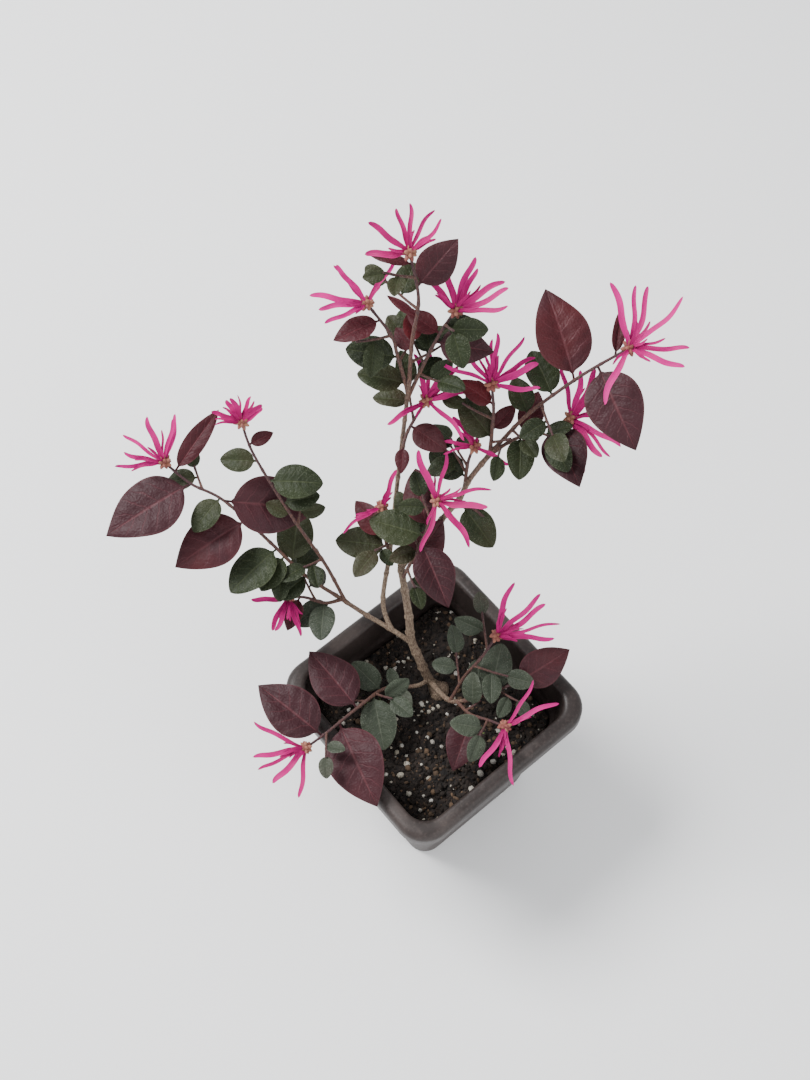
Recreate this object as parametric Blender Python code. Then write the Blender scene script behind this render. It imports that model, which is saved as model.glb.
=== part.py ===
"""A potted Chinese fringe flower, Loropetalum chinense, as solids: pot, soil, trunk, boughs and sprays.

All sizes are in millimetres until a mesh is made, which is in metres. The pot stands on z = 0 with its
sides along X and Y. The plant is laid out in three directions of its own: right, away and up, as seen
from the front corner of the pot. PLANT_TURN is the angle from the part's X to the plant's right.
"""
import math
import random

import bmesh
import bpy
from mathutils import Matrix, Vector, noise
from mathutils.bvhtree import BVHTree

MM = 0.001
GAP = 0.3
CUT_STEP = 0.1
PLANT_TURN = math.radians(50)
SEED = 11

# Pot: a 90 mm square nursery pot with tapered walls and a rolled rim
POT_SIDE = 90.0
POT_HEIGHT = 85.0
RIM_WIDTH = 6.6
RIM_DROP = 7.5
RIM_THICK = 2.6
WALL = 1.3
FLOOR = 1.5
BASE_SIDE = 61.4
SHOULDER_UP = 69.0
SHOULDER_STEP = 1.0
SHOULDER_TALL = 1.5
BASE_ROUND = 1.2
OUTER_CORNER = 12.0
INNER_CORNER = 8.6
BASE_CORNER = 7.0
CORNER_POINTS = 5
DRAIN_HOLE = 7.0
DRAIN_OUT = 20.0

# Soil
SOIL_UP = 66.0
SOIL_BUMP = 0.9
SOIL_GRAIN = 0.11
SOIL_EDGE_DROP = 0.6
LEVEL_ROUND_TRUNK = (6.0, 8.0)
SOIL_RINGS = (0.86, 0.68, 0.5, 0.32, 0.15)

# Stems
TRUNK_FOOT = (2, 9, SOIL_UP + GAP)
TRUNK_GUIDE = ((-2, 12, 72), (-6, 16, 84), (-9, 20, 93), (-10, 24, 108), (-13, 35, 127))
TRUNK_THICK = (4.0, 2.6)
FLARE = 2.0
FLARE_UP = 5.0
FLARE_LOBES = 4
LIMB_SIDES = 8
TWIG_SIDES = 5
SIDE_TWIG_SIDES = 3
RING_STEP = 6.5
TRUNK_RING_STEP = 3.2

# Leaves: width as a share of length, fold at the midrib in degrees, outline as (place, half width)
LEAF_KINDS = {
    "plum": (0.62, 14, ((0.10, 0.30), (0.25, 0.86), (0.48, 1.0), (0.74, 0.66), (0.92, 0.20))),
    "wine": (0.56, 18, ((0.10, 0.34), (0.30, 0.95), (0.60, 0.90), (0.88, 0.32))),
    "green": (0.66, 15, ((0.10, 0.36), (0.35, 1.0), (0.72, 0.74))),
    "slim": (0.30, 24, ((0.12, 0.40), (0.50, 1.0), (0.85, 0.42))),
    "small": (0.66, 17, ((0.16, 0.60), (0.52, 1.0))),
}
LEAF_THICK = 0.46
LEAF_DROOP = (8, 26)
PETIOLE_HALF = 0.45
LEAF_POINT = 0.22
ROOT_SUNK = 1.5
LIGHT = Vector((0, -0.34, 0.94))
RISE_LEVEL = 4
RISE_FACING = 16

# How far a leaf's rise and roll stray from the rule, in degrees
STRAY_LISTED = (8, 17)
STRAY_SMALL = (26, 34)

# The tilts and swings that a leaf tries, in degrees, until it finds room
LEAF_RETRIES = ((0, 0), (9, 0), (-9, 0), (18, 6), (-18, -6), (27, -10), (-27, 10))

# Blossom: strap petals from a knot of calyxes, fanned in a plane that faces the light
PETAL_WIDE = 1.9
PETAL_THICK = 0.5
PETAL_SPANS = ((0.0, 0.45), (0.36, 0.85), (0.72, 1.0), (1.0, 0.8))
PETAL_SHARE = (0.85, 1.1)
PETAL_LIFT = (8, 26)
PETAL_RETRIES = (36, -6, 54)
PETAL_CURL = (-26, 10)
KNOT_RADIUS = 2.1
FAN_UP = Vector((0, 0.87, 0.49))
FAN_OUT = Vector((0, -0.49, 0.87))

# Each bough: its stem, as what carries it, how far along that it starts and its guide points, and its
# thickness at both ends
BOUGHS = {
    "bough_right": dict(
        stem=("trunk", 1.0, ((-3, 43, 138), (8, 49, 154), (12, 51, 167), (20, 55, 181))),
        thick=(2.5, 1.9),
    ),
    "bough_left": dict(
        stem=("trunk", 0.42, ((-14, 21, 96), (-19, 23, 99), (-28, 27, 103), (-38, 31, 110))),
        thick=(2.1, 1.6),
    ),
    "bough_back": dict(
        stem=("bough_left", 0.30, ((-20, 30, 107), (-17, 41, 130), (-14, 57, 157), (-10, 66, 207))),
        thick=(1.9, 1.5),
    ),
    "bough_low_left": dict(
        stem=("trunk", 0.10, ((-6, 8, 74), (-12, 6, 77))),
        thick=(1.8, 1.5),
    ),
    "bough_low_right": dict(
        stem=("trunk", 0.08, ((3, 4, 75), (7, 0, 77), (12, -1, 80))),
        thick=(2.4, 1.7),
    ),
}

# Each spray: its stem as for a bough, its leaves as (place along the stem, heading, length, kind), its
# blossom as (petal length, angles in the fan) and how many side twigs the rule adds
SPRAYS = {
    "spray_low_left": dict(
        stem=("bough_low_left", 1.0, ((-20, 4, 80), (-30, -7, 88), (-41, -19, 94), (-49, -26, 96))),
        leaves=(
            (0.02, -80, 12, "green"), (0.06, 110, 8, "green"), (0.19, 140, 16, "green"),
            (0.28, -78, 22, "green"), (0.48, 130, 30, "plum"), (0.68, -66, 36, "plum"),
            (0.85, 143, 32, "plum"),
        ),
        blossom=(21, (-164, -178, -97, 160, -135)),
        twigs=3,
    ),
    "spray_low_right": dict(
        stem=("bough_low_right", 1.0, ((17, -1, 83), (23, 0, 87), (33, 2, 93))),
        leaves=(
            (0.04, 95, 11, "green"), (0.24, 94, 16, "green"), (0.30, -128, 16, "green"),
            (0.50, 77, 20, "green"), (1.0, 28, 25, "plum"),
        ),
        blossom=None,
        twigs=2,
    ),
    "spray_low_front": dict(
        stem=("bough_low_right", 0.86, ((14, -8, 84), (21, -12, 88), (27, -16, 92))),
        leaves=((0.42, -110, 23, "plum"), (0.36, 30, 16, "wine")),
        blossom=(23, (-119, -85, 31, 50)),
        twigs=2,
    ),
    "spray_low_back": dict(
        stem=("bough_low_right", 0.70, ((12, 6, 88), (19, 11, 98), (24, 16, 106))),
        leaves=(),
        blossom=(24, (84, 46, 27, 12, -4)),
        twigs=3,
    ),
    "spray_left_tip": dict(
        stem=(
            "bough_left", 1.0,
            ((-50, 34, 123), (-62, 41, 136), (-78, 50, 152), (-90, 54, 158), (-99, 59, 165)),
        ),
        leaves=(
            (0.05, 22, 18, "green"), (0.11, 32, 17, "green"), (0.19, -140, 14, "green"),
            (0.24, 46, 13, "green"), (0.28, 84, 22, "green"), (0.33, -125, 16, "green"),
            (0.38, -136, 24, "green"), (0.57, -148, 32, "plum"), (0.70, 10, 36, "plum"),
            (0.72, -130, 16, "green"), (0.86, -148, 36, "plum"), (0.94, 52, 28, "slim"),
        ),
        blossom=(17, (174, -176, 148, 112, 78, 64)),
        twigs=3,
    ),
    "spray_left_low": dict(
        stem=("bough_left", 0.93, ((-42, 27, 112), (-50, 28, 115), (-56, 27, 117))),
        leaves=((0.25, -150, 16, "green"), (0.36, -100, 16, "green"), (0.80, -108, 14, "wine")),
        blossom=(16, (-169, -122, -104, -70)),
        twigs=2,
    ),
    "spray_left_high": dict(
        stem=("bough_left", 0.88, ((-42, 38, 124), (-53, 46, 146), (-66, 60, 168), (-70, 68, 178))),
        leaves=(
            (0.54, 160, 10, "green"), (0.60, 8, 14, "green"), (0.72, -4, 20, "green"),
            (0.82, 176, 14, "green"), (0.90, 28, 10, "wine"),
        ),
        blossom=(11, (156, 128, 102, 76, 50, 24)),
        twigs=4,
    ),
    "spray_back_low": dict(
        stem=("bough_back", 0.30, ((-20, 45, 142), (-20, 47, 153))),
        leaves=((0.15, 172, 20, "green"), (0.35, 130, 18, "wine"), (0.45, 70, 13, "green")),
        blossom=(19, (-156, 62)),
        twigs=2,
    ),
    "spray_back_middle": dict(
        stem=("bough_back", 0.64, ((-11, 60, 182), (-8, 62, 190), (-4, 65, 197))),
        leaves=(
            (0.12, 158, 16, "green"), (0.18, -172, 17, "green"), (0.32, -95, 10, "wine"),
            (0.06, -38, 10, "green"), (0.66, -36, 16, "plum"), (0.62, 128, 16, "plum"),
        ),
        blossom=(18, (-150, 96, 80, 64, 44, 12, -36)),
        twigs=3,
    ),
    "spray_top_left": dict(
        stem=("bough_back", 0.96, ((-14, 70, 218), (-16, 73, 225), (-24, 78, 236))),
        leaves=((0.10, 172, 17, "green"), (0.40, 176, 18, "green"), (0.80, -157, 17, "wine")),
        blossom=(18, (124, 134, 175, -172, -150, 60)),
        twigs=3,
    ),
    "spray_top": dict(
        stem=("bough_back", 1.0, ((-9, 71, 225), (-7, 76, 241), (-10, 80, 260))),
        leaves=(
            (0.25, 125, 11, "wine"), (0.31, 88, 13, "wine"), (0.52, 150, 12, "slim"),
            (0.74, 40, 20, "plum"), (0.91, 167, 14, "slim"),
        ),
        blossom=(16, (106, 86, 68, 30, 146, -172)),
        twigs=3,
    ),
    "spray_top_right": dict(
        stem=("bough_back", 0.93, ((-5, 69, 214), (0, 72, 227), (5, 75, 236))),
        leaves=(
            (0.24, 32, 11, "green"), (0.55, 100, 11, "green"), (0.66, -14, 20, "plum"),
            (0.75, 144, 14, "wine"), (0.82, 6, 11, "green"),
        ),
        blossom=(18, (129, 98, 76, 60, 33, 10, -9)),
        twigs=3,
    ),
    "spray_centre": dict(
        stem=("trunk", 0.93, ((-9, 33, 136), (-4, 36, 153), (0, 42, 167))),
        leaves=(
            (0.20, 48, 24, "plum"), (0.55, -66, 26, "plum"), (0.45, -160, 11, "green"),
            (0.64, 165, 21, "green"), (0.72, 102, 24, "wine"),
        ),
        blossom=(20, (80, 114, 21, -16, -45, -100)),
        twigs=3,
    ),
    "spray_right_inner": dict(
        stem=("bough_right", 0.66, ((11, 53, 175), (13, 55, 183))),
        leaves=((0.30, 150, 16, "green"), (0.36, 118, 11, "green")),
        blossom=(13, (170, 118, 70, -26)),
        twigs=2,
    ),
    "spray_right_under": dict(
        stem=("bough_right", 0.50, ((13, 46, 154), (18, 42, 153))),
        leaves=((0.30, -56, 19, "green"), (0.6, 10, 12, "green")),
        blossom=None,
        twigs=2,
    ),
    "spray_right_low": dict(
        stem=("bough_right", 0.93, ((25, 55, 186), (34, 57, 190), (46, 59, 195))),
        leaves=(
            (0.10, -54, 25, "green"), (0.46, -92, 16, "green"), (0.50, 70, 17, "wine"),
            (0.82, -74, 26, "plum"),
        ),
        blossom=(20, (100, 76, 57, 22, -26, -36, -53, -73)),
        twigs=3,
    ),
    "spray_right_tip": dict(
        stem=("bough_right", 1.0, ((28, 58, 194), (35, 60, 203), (48, 61, 220), (61, 61, 235))),
        leaves=(
            (0.30, 110, 14, "green"), (0.48, 112, 18, "green"), (0.64, 107, 33, "plum"),
            (0.80, -68, 31, "plum"), (0.91, 80, 17, "slim"),
        ),
        blossom=(22, (80, 64, 106, 36, 0, -22, -125)),
        twigs=3,
    ),
    "spray_right_back": dict(
        stem=("bough_right", 0.96, ((19, 58, 191), (19, 60, 200), (18, 64, 209))),
        leaves=((0.24, 150, 18, "green"), (0.36, 34, 12, "wine"), (0.74, 148, 15, "wine")),
        blossom=(18, (132, 154, 92, 80, 58, 40, 24, -14)),
        twigs=3,
    ),
}
SPRAY_THICK = (1.5, 0.95)

# Side twigs, each with a small leaf at its tip and one below it
TWIG_THICK = (0.95, 0.8)
TWIG_LENGTH = (7, 15)
TWIG_ZONE = (0.12, 0.86)
TWIG_SWING = (45, 85)
TWIG_RISE = (-5, 45)
TWIG_LEAF = (8, 14)
TWIG_LEAVES = ((0.5, 70), (1.0, 0))
TWIG_UPTURN = 0.2

COLOURS = {
    "pot": (0.050, 0.043, 0.041),
    "soil": (0.018, 0.013, 0.010),
    "bark": (0.150, 0.092, 0.055),
    "plum": (0.105, 0.024, 0.042),
    "green": (0.036, 0.062, 0.034),
    "pink": (0.620, 0.015, 0.260),
}


def material(name, colour, roughness):
    """A plain Principled finish."""
    made = bpy.data.materials.new(name)
    made.use_nodes = True
    shader = made.node_tree.nodes["Principled BSDF"]
    shader.inputs["Base Color"].default_value = (*colour, 1.0)
    shader.inputs["Roughness"].default_value = roughness
    shader.inputs["Metallic"].default_value = 0.0
    made.diffuse_color = (*colour, 1.0)
    return made


def mesh_object(name, shape, finish=None):
    """An object from a shape, a pair of corner points in millimetres and faces."""
    points, faces = shape
    mesh = bpy.data.meshes.new(name)
    mesh.from_pydata([tuple(Vector(p) * MM) for p in points], [], faces)
    mesh.validate()
    if finish:
        mesh.materials.append(finish)
    made = bpy.data.objects.new(name, mesh)
    bpy.context.scene.collection.objects.link(made)
    return made


def loft(rings):
    """Closed shape through rings of equally many points, with a flat cap at each end."""
    count = len(rings[0])
    points = [p for ring in rings for p in ring]
    faces = [tuple(reversed(range(count)))]
    for low in range(0, len(points) - count, count):
        for i in range(count):
            j = (i + 1) % count
            faces.append((low + i, low + j, low + count + j, low + count + i))
    faces.append(tuple(range(len(points) - count, len(points))))
    return points, faces


def laid(right, away, up):
    """A place in the plant's own directions as a place of the part."""
    return Matrix.Rotation(PLANT_TURN, 3, "Z") @ Vector((right, away, up))


def heading_of(direction):
    """The heading of a direction of the part, in the plant's own degrees."""
    return math.degrees(math.atan2(direction.y, direction.x) - PLANT_TURN)


def smooth_path(guide, per_span=8):
    """Points on a smooth curve through the guide points."""
    found = []
    for i in range(len(guide) - 1):
        a, b, c, d = (guide[max(0, min(len(guide) - 1, k))] for k in (i - 1, i, i + 1, i + 2))
        for step in range(per_span):
            t = step / per_span
            bend = (2 * a - 5 * b + 4 * c - d) * t * t + (3 * b - a - 3 * c + d) * t**3
            found.append(0.5 * (2 * b + (c - a) * t + bend))
    found.append(guide[-1].copy())
    return found


def lengths_along(path):
    """The distance of each point of a path from its start."""
    total = [0.0]
    for a, b in zip(path, path[1:]):
        total.append(total[-1] + (b - a).length)
    return total


def at_distance(path, distance):
    """The point and the direction of a path at a distance from its start."""
    total = lengths_along(path)
    distance = max(0.0, min(distance, total[-1]))
    for i in range(1, len(path)):
        if distance <= total[i] or i == len(path) - 1:
            step = path[i] - path[i - 1]
            return path[i - 1] + step * ((distance - total[i - 1]) / step.length), step.normalized()


def tube(path, radii, sides, start=0.0, step=RING_STEP, lobes=None):
    """A tapering stem round a path, cut square at both ends. lobes gives each ring's root lobes."""
    whole = lengths_along(path)[-1]
    count = max(2, round((whole - start) / step) + 1)
    side = at_distance(path, start)[1].orthogonal()
    rings = []
    for i in range(count):
        share = i / (count - 1)
        middle, ahead = at_distance(path, start + (whole - start) * share)
        side = (side - ahead * side.dot(ahead)).normalized()
        other = ahead.cross(side)
        radius = radii[0] + (radii[1] - radii[0]) * share
        ring = []
        for k in range(sides):
            turn = 2 * math.pi * k / sides
            swell = 1 + lobes(middle.z, turn) if lobes else 1
            ring.append(middle + (side * math.cos(turn) + other * math.sin(turn)) * radius * swell)
        rings.append(ring)
    return loft(rings)


def leaf(base, heading, rise, length, kind, roll, droop, margin=0.0):
    """A folded, drooping blade on its petiole, whose root is at the base point."""
    wide, fold, outline = LEAF_KINDS[kind]
    angle = math.radians(heading)
    flat = laid(math.cos(angle), math.sin(angle), 0)
    ahead = flat * math.cos(math.radians(rise)) + Vector((0, 0, math.sin(math.radians(rise))))
    light = laid(*LIGHT)
    face = (light - ahead * light.dot(ahead)).normalized()
    face = Matrix.Rotation(math.radians(roll), 3, ahead) @ face
    side = ahead.cross(face)
    thick = LEAF_THICK / 2 + margin
    slope = math.radians(fold)
    stations = [(0.0, PETIOLE_HALF)] + [(u, max(PETIOLE_HALF, w * wide * length / 2)) for u, w in outline]
    stations.append((1.0, LEAF_POINT))
    middle = base.copy()
    rings = []
    before = 0.0
    for place, half in stations:
        bend = math.radians(-droop * (place - 0.3))
        step = ahead * math.cos(bend) + face * math.sin(bend)
        middle = middle + step * (place - before) * length
        before = place
        normal = step.cross(side).normalized() * -1
        lift = face * math.sin(slope) * (half + margin)
        out = side * math.cos(slope) * (half + margin)
        up = normal * thick
        top = [middle + out + lift + up, middle + up, middle - out + lift + up]
        rings.append(top + [point - 2 * up for point in reversed(top)])
    return loft([list(reversed(ring)) for ring in rings])


def petal(base, angle, lift, length, curl, margin=0.0):
    """A strap petal from the middle of a blossom, at an angle in the fan, curling towards its tip."""
    turn = math.radians(angle)
    ahead = laid(*(Vector((1, 0, 0)) * math.cos(turn) + FAN_UP * math.sin(turn)))
    out = laid(*FAN_OUT)
    side = ahead.cross(out).normalized()
    middle = base.copy()
    rings = []
    before = 0.0
    for place, wide in PETAL_SPANS:
        bend = math.radians(lift + curl * place)
        step = ahead * math.cos(bend) + out * math.sin(bend)
        middle = middle + step * (place - before) * length
        before = place
        up = step.cross(side).normalized() * (PETAL_THICK / 2 + margin)
        half = side * (PETAL_WIDE / 2 * wide + margin)
        rings.append([middle + half + up, middle - half + up, middle - half - up, middle + half - up])
    return loft(rings)


def knot(middle, radius):
    """The lump of calyxes that the petals come out of."""
    bm = bmesh.new()
    bmesh.ops.create_icosphere(bm, subdivisions=1, radius=radius)
    points = [middle + v.co for v in bm.verts]
    faces = [tuple(v.index for v in f.verts) for f in bm.faces]
    bm.free()
    return points, faces


def rounded_square(half, corner, up):
    """A ring of points round a square with round corners."""
    ring = []
    for quarter in range(4):
        for i in range(CORNER_POINTS + 1):
            turn = math.pi / 2 * (quarter + i / CORNER_POINTS)
            start = math.pi / 2 * quarter + math.pi / 4
            middle = Vector((math.cos(start), math.sin(start), 0)) * math.sqrt(2) * (half - corner)
            ring.append(middle + Vector((math.cos(turn) * corner, math.sin(turn) * corner, up)))
    return ring


def wall_half(up):
    """Half the pot's outer side at a height below the rim."""
    low, high = BASE_SIDE / 2, POT_SIDE / 2 - RIM_WIDTH + WALL
    return low + (high - low - SHOULDER_STEP) * up / POT_HEIGHT + SHOULDER_STEP * (up > SHOULDER_UP)


def wall_corner(up):
    """The radius of the wall's inner corner at a height."""
    return BASE_CORNER + (INNER_CORNER - BASE_CORNER) * up / POT_HEIGHT


def make_pot(finish):
    """Tapered walls with a shoulder, a rim rolled out and down, and a floor with four drain holes."""
    half = POT_SIDE / 2
    ceiling = POT_HEIGHT - RIM_THICK
    skirt = POT_HEIGHT - RIM_DROP
    step = SHOULDER_UP + SHOULDER_TALL
    profile = [
        (wall_half(0) - BASE_ROUND, BASE_CORNER, 0.0),
        (wall_half(BASE_ROUND), wall_corner(0) + WALL, BASE_ROUND),
        (wall_half(SHOULDER_UP), wall_corner(SHOULDER_UP) + WALL, SHOULDER_UP),
        (wall_half(step), wall_corner(step) + WALL, step),
        (wall_half(ceiling), INNER_CORNER + WALL, ceiling),
        (half - WALL, OUTER_CORNER - WALL, ceiling),
        (half - WALL, OUTER_CORNER - WALL, skirt),
        (half, OUTER_CORNER, skirt),
        (half, OUTER_CORNER, POT_HEIGHT - 3.2),
        (half - 0.9, OUTER_CORNER - 0.7, POT_HEIGHT - 1.2),
        (half - RIM_THICK, OUTER_CORNER - 1.8, POT_HEIGHT),
        (half - RIM_WIDTH + 1.8, INNER_CORNER + 1.4, POT_HEIGHT),
        (half - RIM_WIDTH + 0.4, INNER_CORNER + 0.4, POT_HEIGHT - 1.2),
        (wall_half(ceiling) - WALL, INNER_CORNER, ceiling),
        (wall_half(step) - WALL, wall_corner(step), step),
        (wall_half(SHOULDER_UP) - WALL, wall_corner(SHOULDER_UP), SHOULDER_UP),
        (wall_half(FLOOR) - WALL, wall_corner(FLOOR), FLOOR),
    ]
    pot = mesh_object("pot", loft([rounded_square(*row) for row in profile]), finish)
    bm = bmesh.new()
    for quarter in range(4):
        turn = math.radians(45 + 90 * quarter)
        spot = Matrix.Translation(Vector((math.cos(turn), math.sin(turn), 0)) * DRAIN_OUT * math.sqrt(2) * MM)
        bmesh.ops.create_cone(
            bm, cap_ends=True, segments=10, radius1=DRAIN_HOLE / 2 * MM, radius2=DRAIN_HOLE / 2 * MM,
            depth=4 * FLOOR * MM, matrix=spot,
        )
    mesh = bpy.data.meshes.new("drain_cutter")
    bm.to_mesh(mesh)
    bm.free()
    cutter = bpy.data.objects.new("drain_cutter", mesh)
    bpy.context.scene.collection.objects.link(cutter)
    cutter.hide_render = True
    cutter.display_type = "WIRE"
    cut = pot.modifiers.new("drain holes", "BOOLEAN")
    cut.operation = "DIFFERENCE"
    cut.object = cutter
    return pot


def soil_up(place):
    """The height of the soil's surface, level where the trunk stands."""
    foot = laid(*TRUNK_FOOT)
    flat, fade = LEVEL_ROUND_TRUNK
    rough = min(1.0, max(0.0, (math.hypot(place.x - foot.x, place.y - foot.y) - flat) / fade))
    return SOIL_UP + SOIL_BUMP * rough * noise.noise(Vector((place.x, place.y, SEED)) * SOIL_GRAIN)


def make_soil(finish):
    """The soil that fills the pot, with a slightly uneven surface."""
    low = FLOOR + GAP
    edge = SOIL_UP - SOIL_EDGE_DROP
    inset = WALL + 1.3 * GAP
    rings = [rounded_square(wall_half(up) - inset, wall_corner(up) - GAP, up) for up in (low, edge)]
    top = wall_half(edge) - inset
    for share in SOIL_RINGS:
        ring = rounded_square(top * share, wall_corner(edge) * share, 0)
        rings.append([Vector((p.x, p.y, soil_up(p))) for p in ring])
    return mesh_object("soil", loft(rings), finish)


class Garden:
    """What stands already, so that each new piece can keep clear of it."""

    def __init__(self):
        self.trees = []
        self.paths = {}

    def add(self, owner, kind, shape):
        """Note a piece of a node. kind is limb, twig, leaf or blossom."""
        points, faces = shape
        low = [min(p[i] for p in points) for i in range(3)]
        high = [max(p[i] for p in points) for i in range(3)]
        self.trees.append((owner, kind, BVHTree.FromPolygons(points, faces), (low, high)))

    def touches(self, owner, shape, own_kinds=()):
        """Whether a shape crosses another node, or a piece of these kinds of its own node."""
        points, faces = shape
        low = [min(p[i] for p in points) for i in range(3)]
        high = [max(p[i] for p in points) for i in range(3)]
        tree = None
        for other, kind, standing, (floor, roof) in self.trees:
            if other == owner and kind not in own_kinds:
                continue
            if any(low[i] > roof[i] or high[i] < floor[i] for i in range(3)):
                continue
            tree = tree or BVHTree.FromPolygons(points, faces)
            if tree.overlap(standing):
                return True
        return False


def grow_stem(garden, owner, kind, stem, thick, sides):
    """A stem that leaves its carrier, or carries on from its tip, cut square GAP clear of it."""
    carrier, start, guide = stem
    line = garden.paths[carrier]
    first = at_distance(line, lengths_along(line)[-1] * start)[0]
    path = smooth_path([first] + [laid(*spot) for spot in guide])
    radii = (thick[0] / 2, thick[1] / 2)
    wide = (radii[0] + GAP, radii[1] + GAP)
    cut = GAP
    while garden.touches(owner, tube(path, wide, sides, cut - GAP), ("limb",)):
        cut += CUT_STEP
    shape = tube(path, radii, sides, cut)
    garden.add(owner, kind, shape)
    garden.paths[owner] = path
    return shape


def grow_blossom(garden, owner, blossom, chance):
    """A knot of calyxes at the tip of the stem and the petals that find room."""
    size, angles = blossom
    tip = garden.paths[owner][-1]
    pieces = [knot(tip, KNOT_RADIUS)]
    garden.add(owner, "blossom", pieces[0])
    for angle in angles:
        length = size * chance.uniform(*PETAL_SHARE)
        for lift in (chance.uniform(*PETAL_LIFT), *PETAL_RETRIES):
            curl = chance.uniform(*PETAL_CURL)
            if not garden.touches(owner, petal(tip, angle, lift, length, curl, GAP), ("leaf",)):
                shape = petal(tip, angle, lift, length, curl)
                garden.add(owner, "petal", shape)
                pieces.append(shape)
                break
    return pieces


def grow_leaf(garden, owner, path, row, stray, chance):
    """A leaf at its place on a stem, tilted a little more each time that it finds no room."""
    along, heading, length, kind = row
    whole = lengths_along(path)[-1]
    base = at_distance(path, min(whole * along, whole - ROOT_SUNK))[0]
    rise = RISE_LEVEL + RISE_FACING * math.sin(math.radians(heading)) + chance.uniform(-stray[0], stray[0])
    roll = chance.uniform(-stray[1], stray[1])
    droop = chance.uniform(*LEAF_DROOP)
    for tilt, swing in LEAF_RETRIES:
        pose = (base, heading + swing, rise + tilt, length, kind, roll, droop)
        if not garden.touches(owner, leaf(*pose, GAP), ("leaf", "petal", "blossom")):
            shape = leaf(*pose)
            garden.add(owner, "leaf", shape)
            return [shape]
    return []


def grow_twigs(garden, owner, count, chance):
    """Side twigs, alternate along the stem of a spray, each with its small leaves. One with no room is
    tried on the other side, then skipped."""
    path = garden.paths[owner]
    whole = lengths_along(path)[-1]
    radii = (TWIG_THICK[0] / 2, TWIG_THICK[1] / 2)
    wide = (radii[0] + GAP, radii[1] + GAP)
    pieces = []
    for i in range(count):
        along = TWIG_ZONE[0] + (TWIG_ZONE[1] - TWIG_ZONE[0]) * (i + chance.random()) / count
        root, ahead = at_distance(path, whole * along)
        swing = (1, -1)[i % 2] * chance.uniform(*TWIG_SWING)
        rise = math.radians(chance.uniform(*TWIG_RISE))
        length = chance.uniform(*TWIG_LENGTH)
        for turn in (swing, -swing, 1.5 * swing, -1.5 * swing):
            heading = heading_of(ahead) + turn
            angle = math.radians(heading)
            out = laid(math.cos(angle) * math.cos(rise), math.sin(angle) * math.cos(rise), math.sin(rise))
            elbow = root + out * length / 2
            tip = elbow + (out + Vector((0, 0, TWIG_UPTURN))) * length / 2
            line = smooth_path([root, elbow, tip], 2)
            if not garden.touches(owner, tube(line, wide, SIDE_TWIG_SIDES), ("leaf", "petal", "blossom")):
                shape = tube(line, radii, SIDE_TWIG_SIDES)
                garden.add(owner, "twig", shape)
                pieces.append(shape)
                for place, spread in TWIG_LEAVES:
                    facing = heading + spread * (1, -1)[i % 2]
                    row = (place, facing, chance.uniform(*TWIG_LEAF), "small")
                    pieces += grow_leaf(garden, owner, line, row, STRAY_SMALL, chance)
                break
    return pieces


def fuse(name, shapes, finish):
    """One solid from overlapping closed shapes, by one Boolean union on a collection."""
    whole = mesh_object(name, shapes[0], finish)
    rest = bpy.data.collections.new(name + "_pieces")
    bpy.context.scene.collection.children.link(rest)
    for i, shape in enumerate(shapes[1:]):
        piece = mesh_object(f"{name}_piece_{i}", shape)
        bpy.context.scene.collection.objects.unlink(piece)
        rest.objects.link(piece)
    union = whole.modifiers.new("union", "BOOLEAN")
    union.operation = "UNION"
    union.operand_type = "COLLECTION"
    union.collection = rest
    union.solver = "MANIFOLD"
    bpy.context.view_layer.update()
    joined = bpy.data.meshes.new_from_object(whole.evaluated_get(bpy.context.evaluated_depsgraph_get()))
    whole.modifiers.clear()
    whole.data = joined
    for piece in list(rest.objects):
        bpy.data.objects.remove(piece)
    bpy.data.collections.remove(rest)
    keep_largest(joined)
    joined.materials.clear()
    joined.materials.append(finish)
    return whole


def keep_largest(mesh):
    """Drop every body of a mesh but the one with the most corners: loose scraps and sealed hollows."""
    bm = bmesh.new()
    bm.from_mesh(mesh)
    left = set(bm.verts)
    bodies = []
    while left:
        body = {left.pop()}
        edge = list(body)
        while edge:
            for link in edge.pop().link_edges:
                for vert in link.verts:
                    if vert in left:
                        left.remove(vert)
                        body.add(vert)
                        edge.append(vert)
        bodies.append(body)
    largest = max(bodies, key=len)
    bmesh.ops.delete(bm, geom=[v for v in bm.verts if v not in largest], context="VERTS")
    bm.to_mesh(mesh)
    bm.free()


def root_lobes(up, turn):
    """How much the trunk swells at its foot, in lobes that die out a little above the soil."""
    share = max(0.0, 1 - (up - TRUNK_FOOT[2]) / FLARE_UP)
    return share**2 * (FLARE - 1) * (1 + 0.3 * math.cos(FLARE_LOBES * turn))


def level_foot(shape, sides):
    """Lay the first ring of a trunk flat at its foot's height."""
    points, faces = shape
    return [Vector((p.x, p.y, TRUNK_FOOT[2])) if i < sides else p for i, p in enumerate(points)], faces


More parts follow.
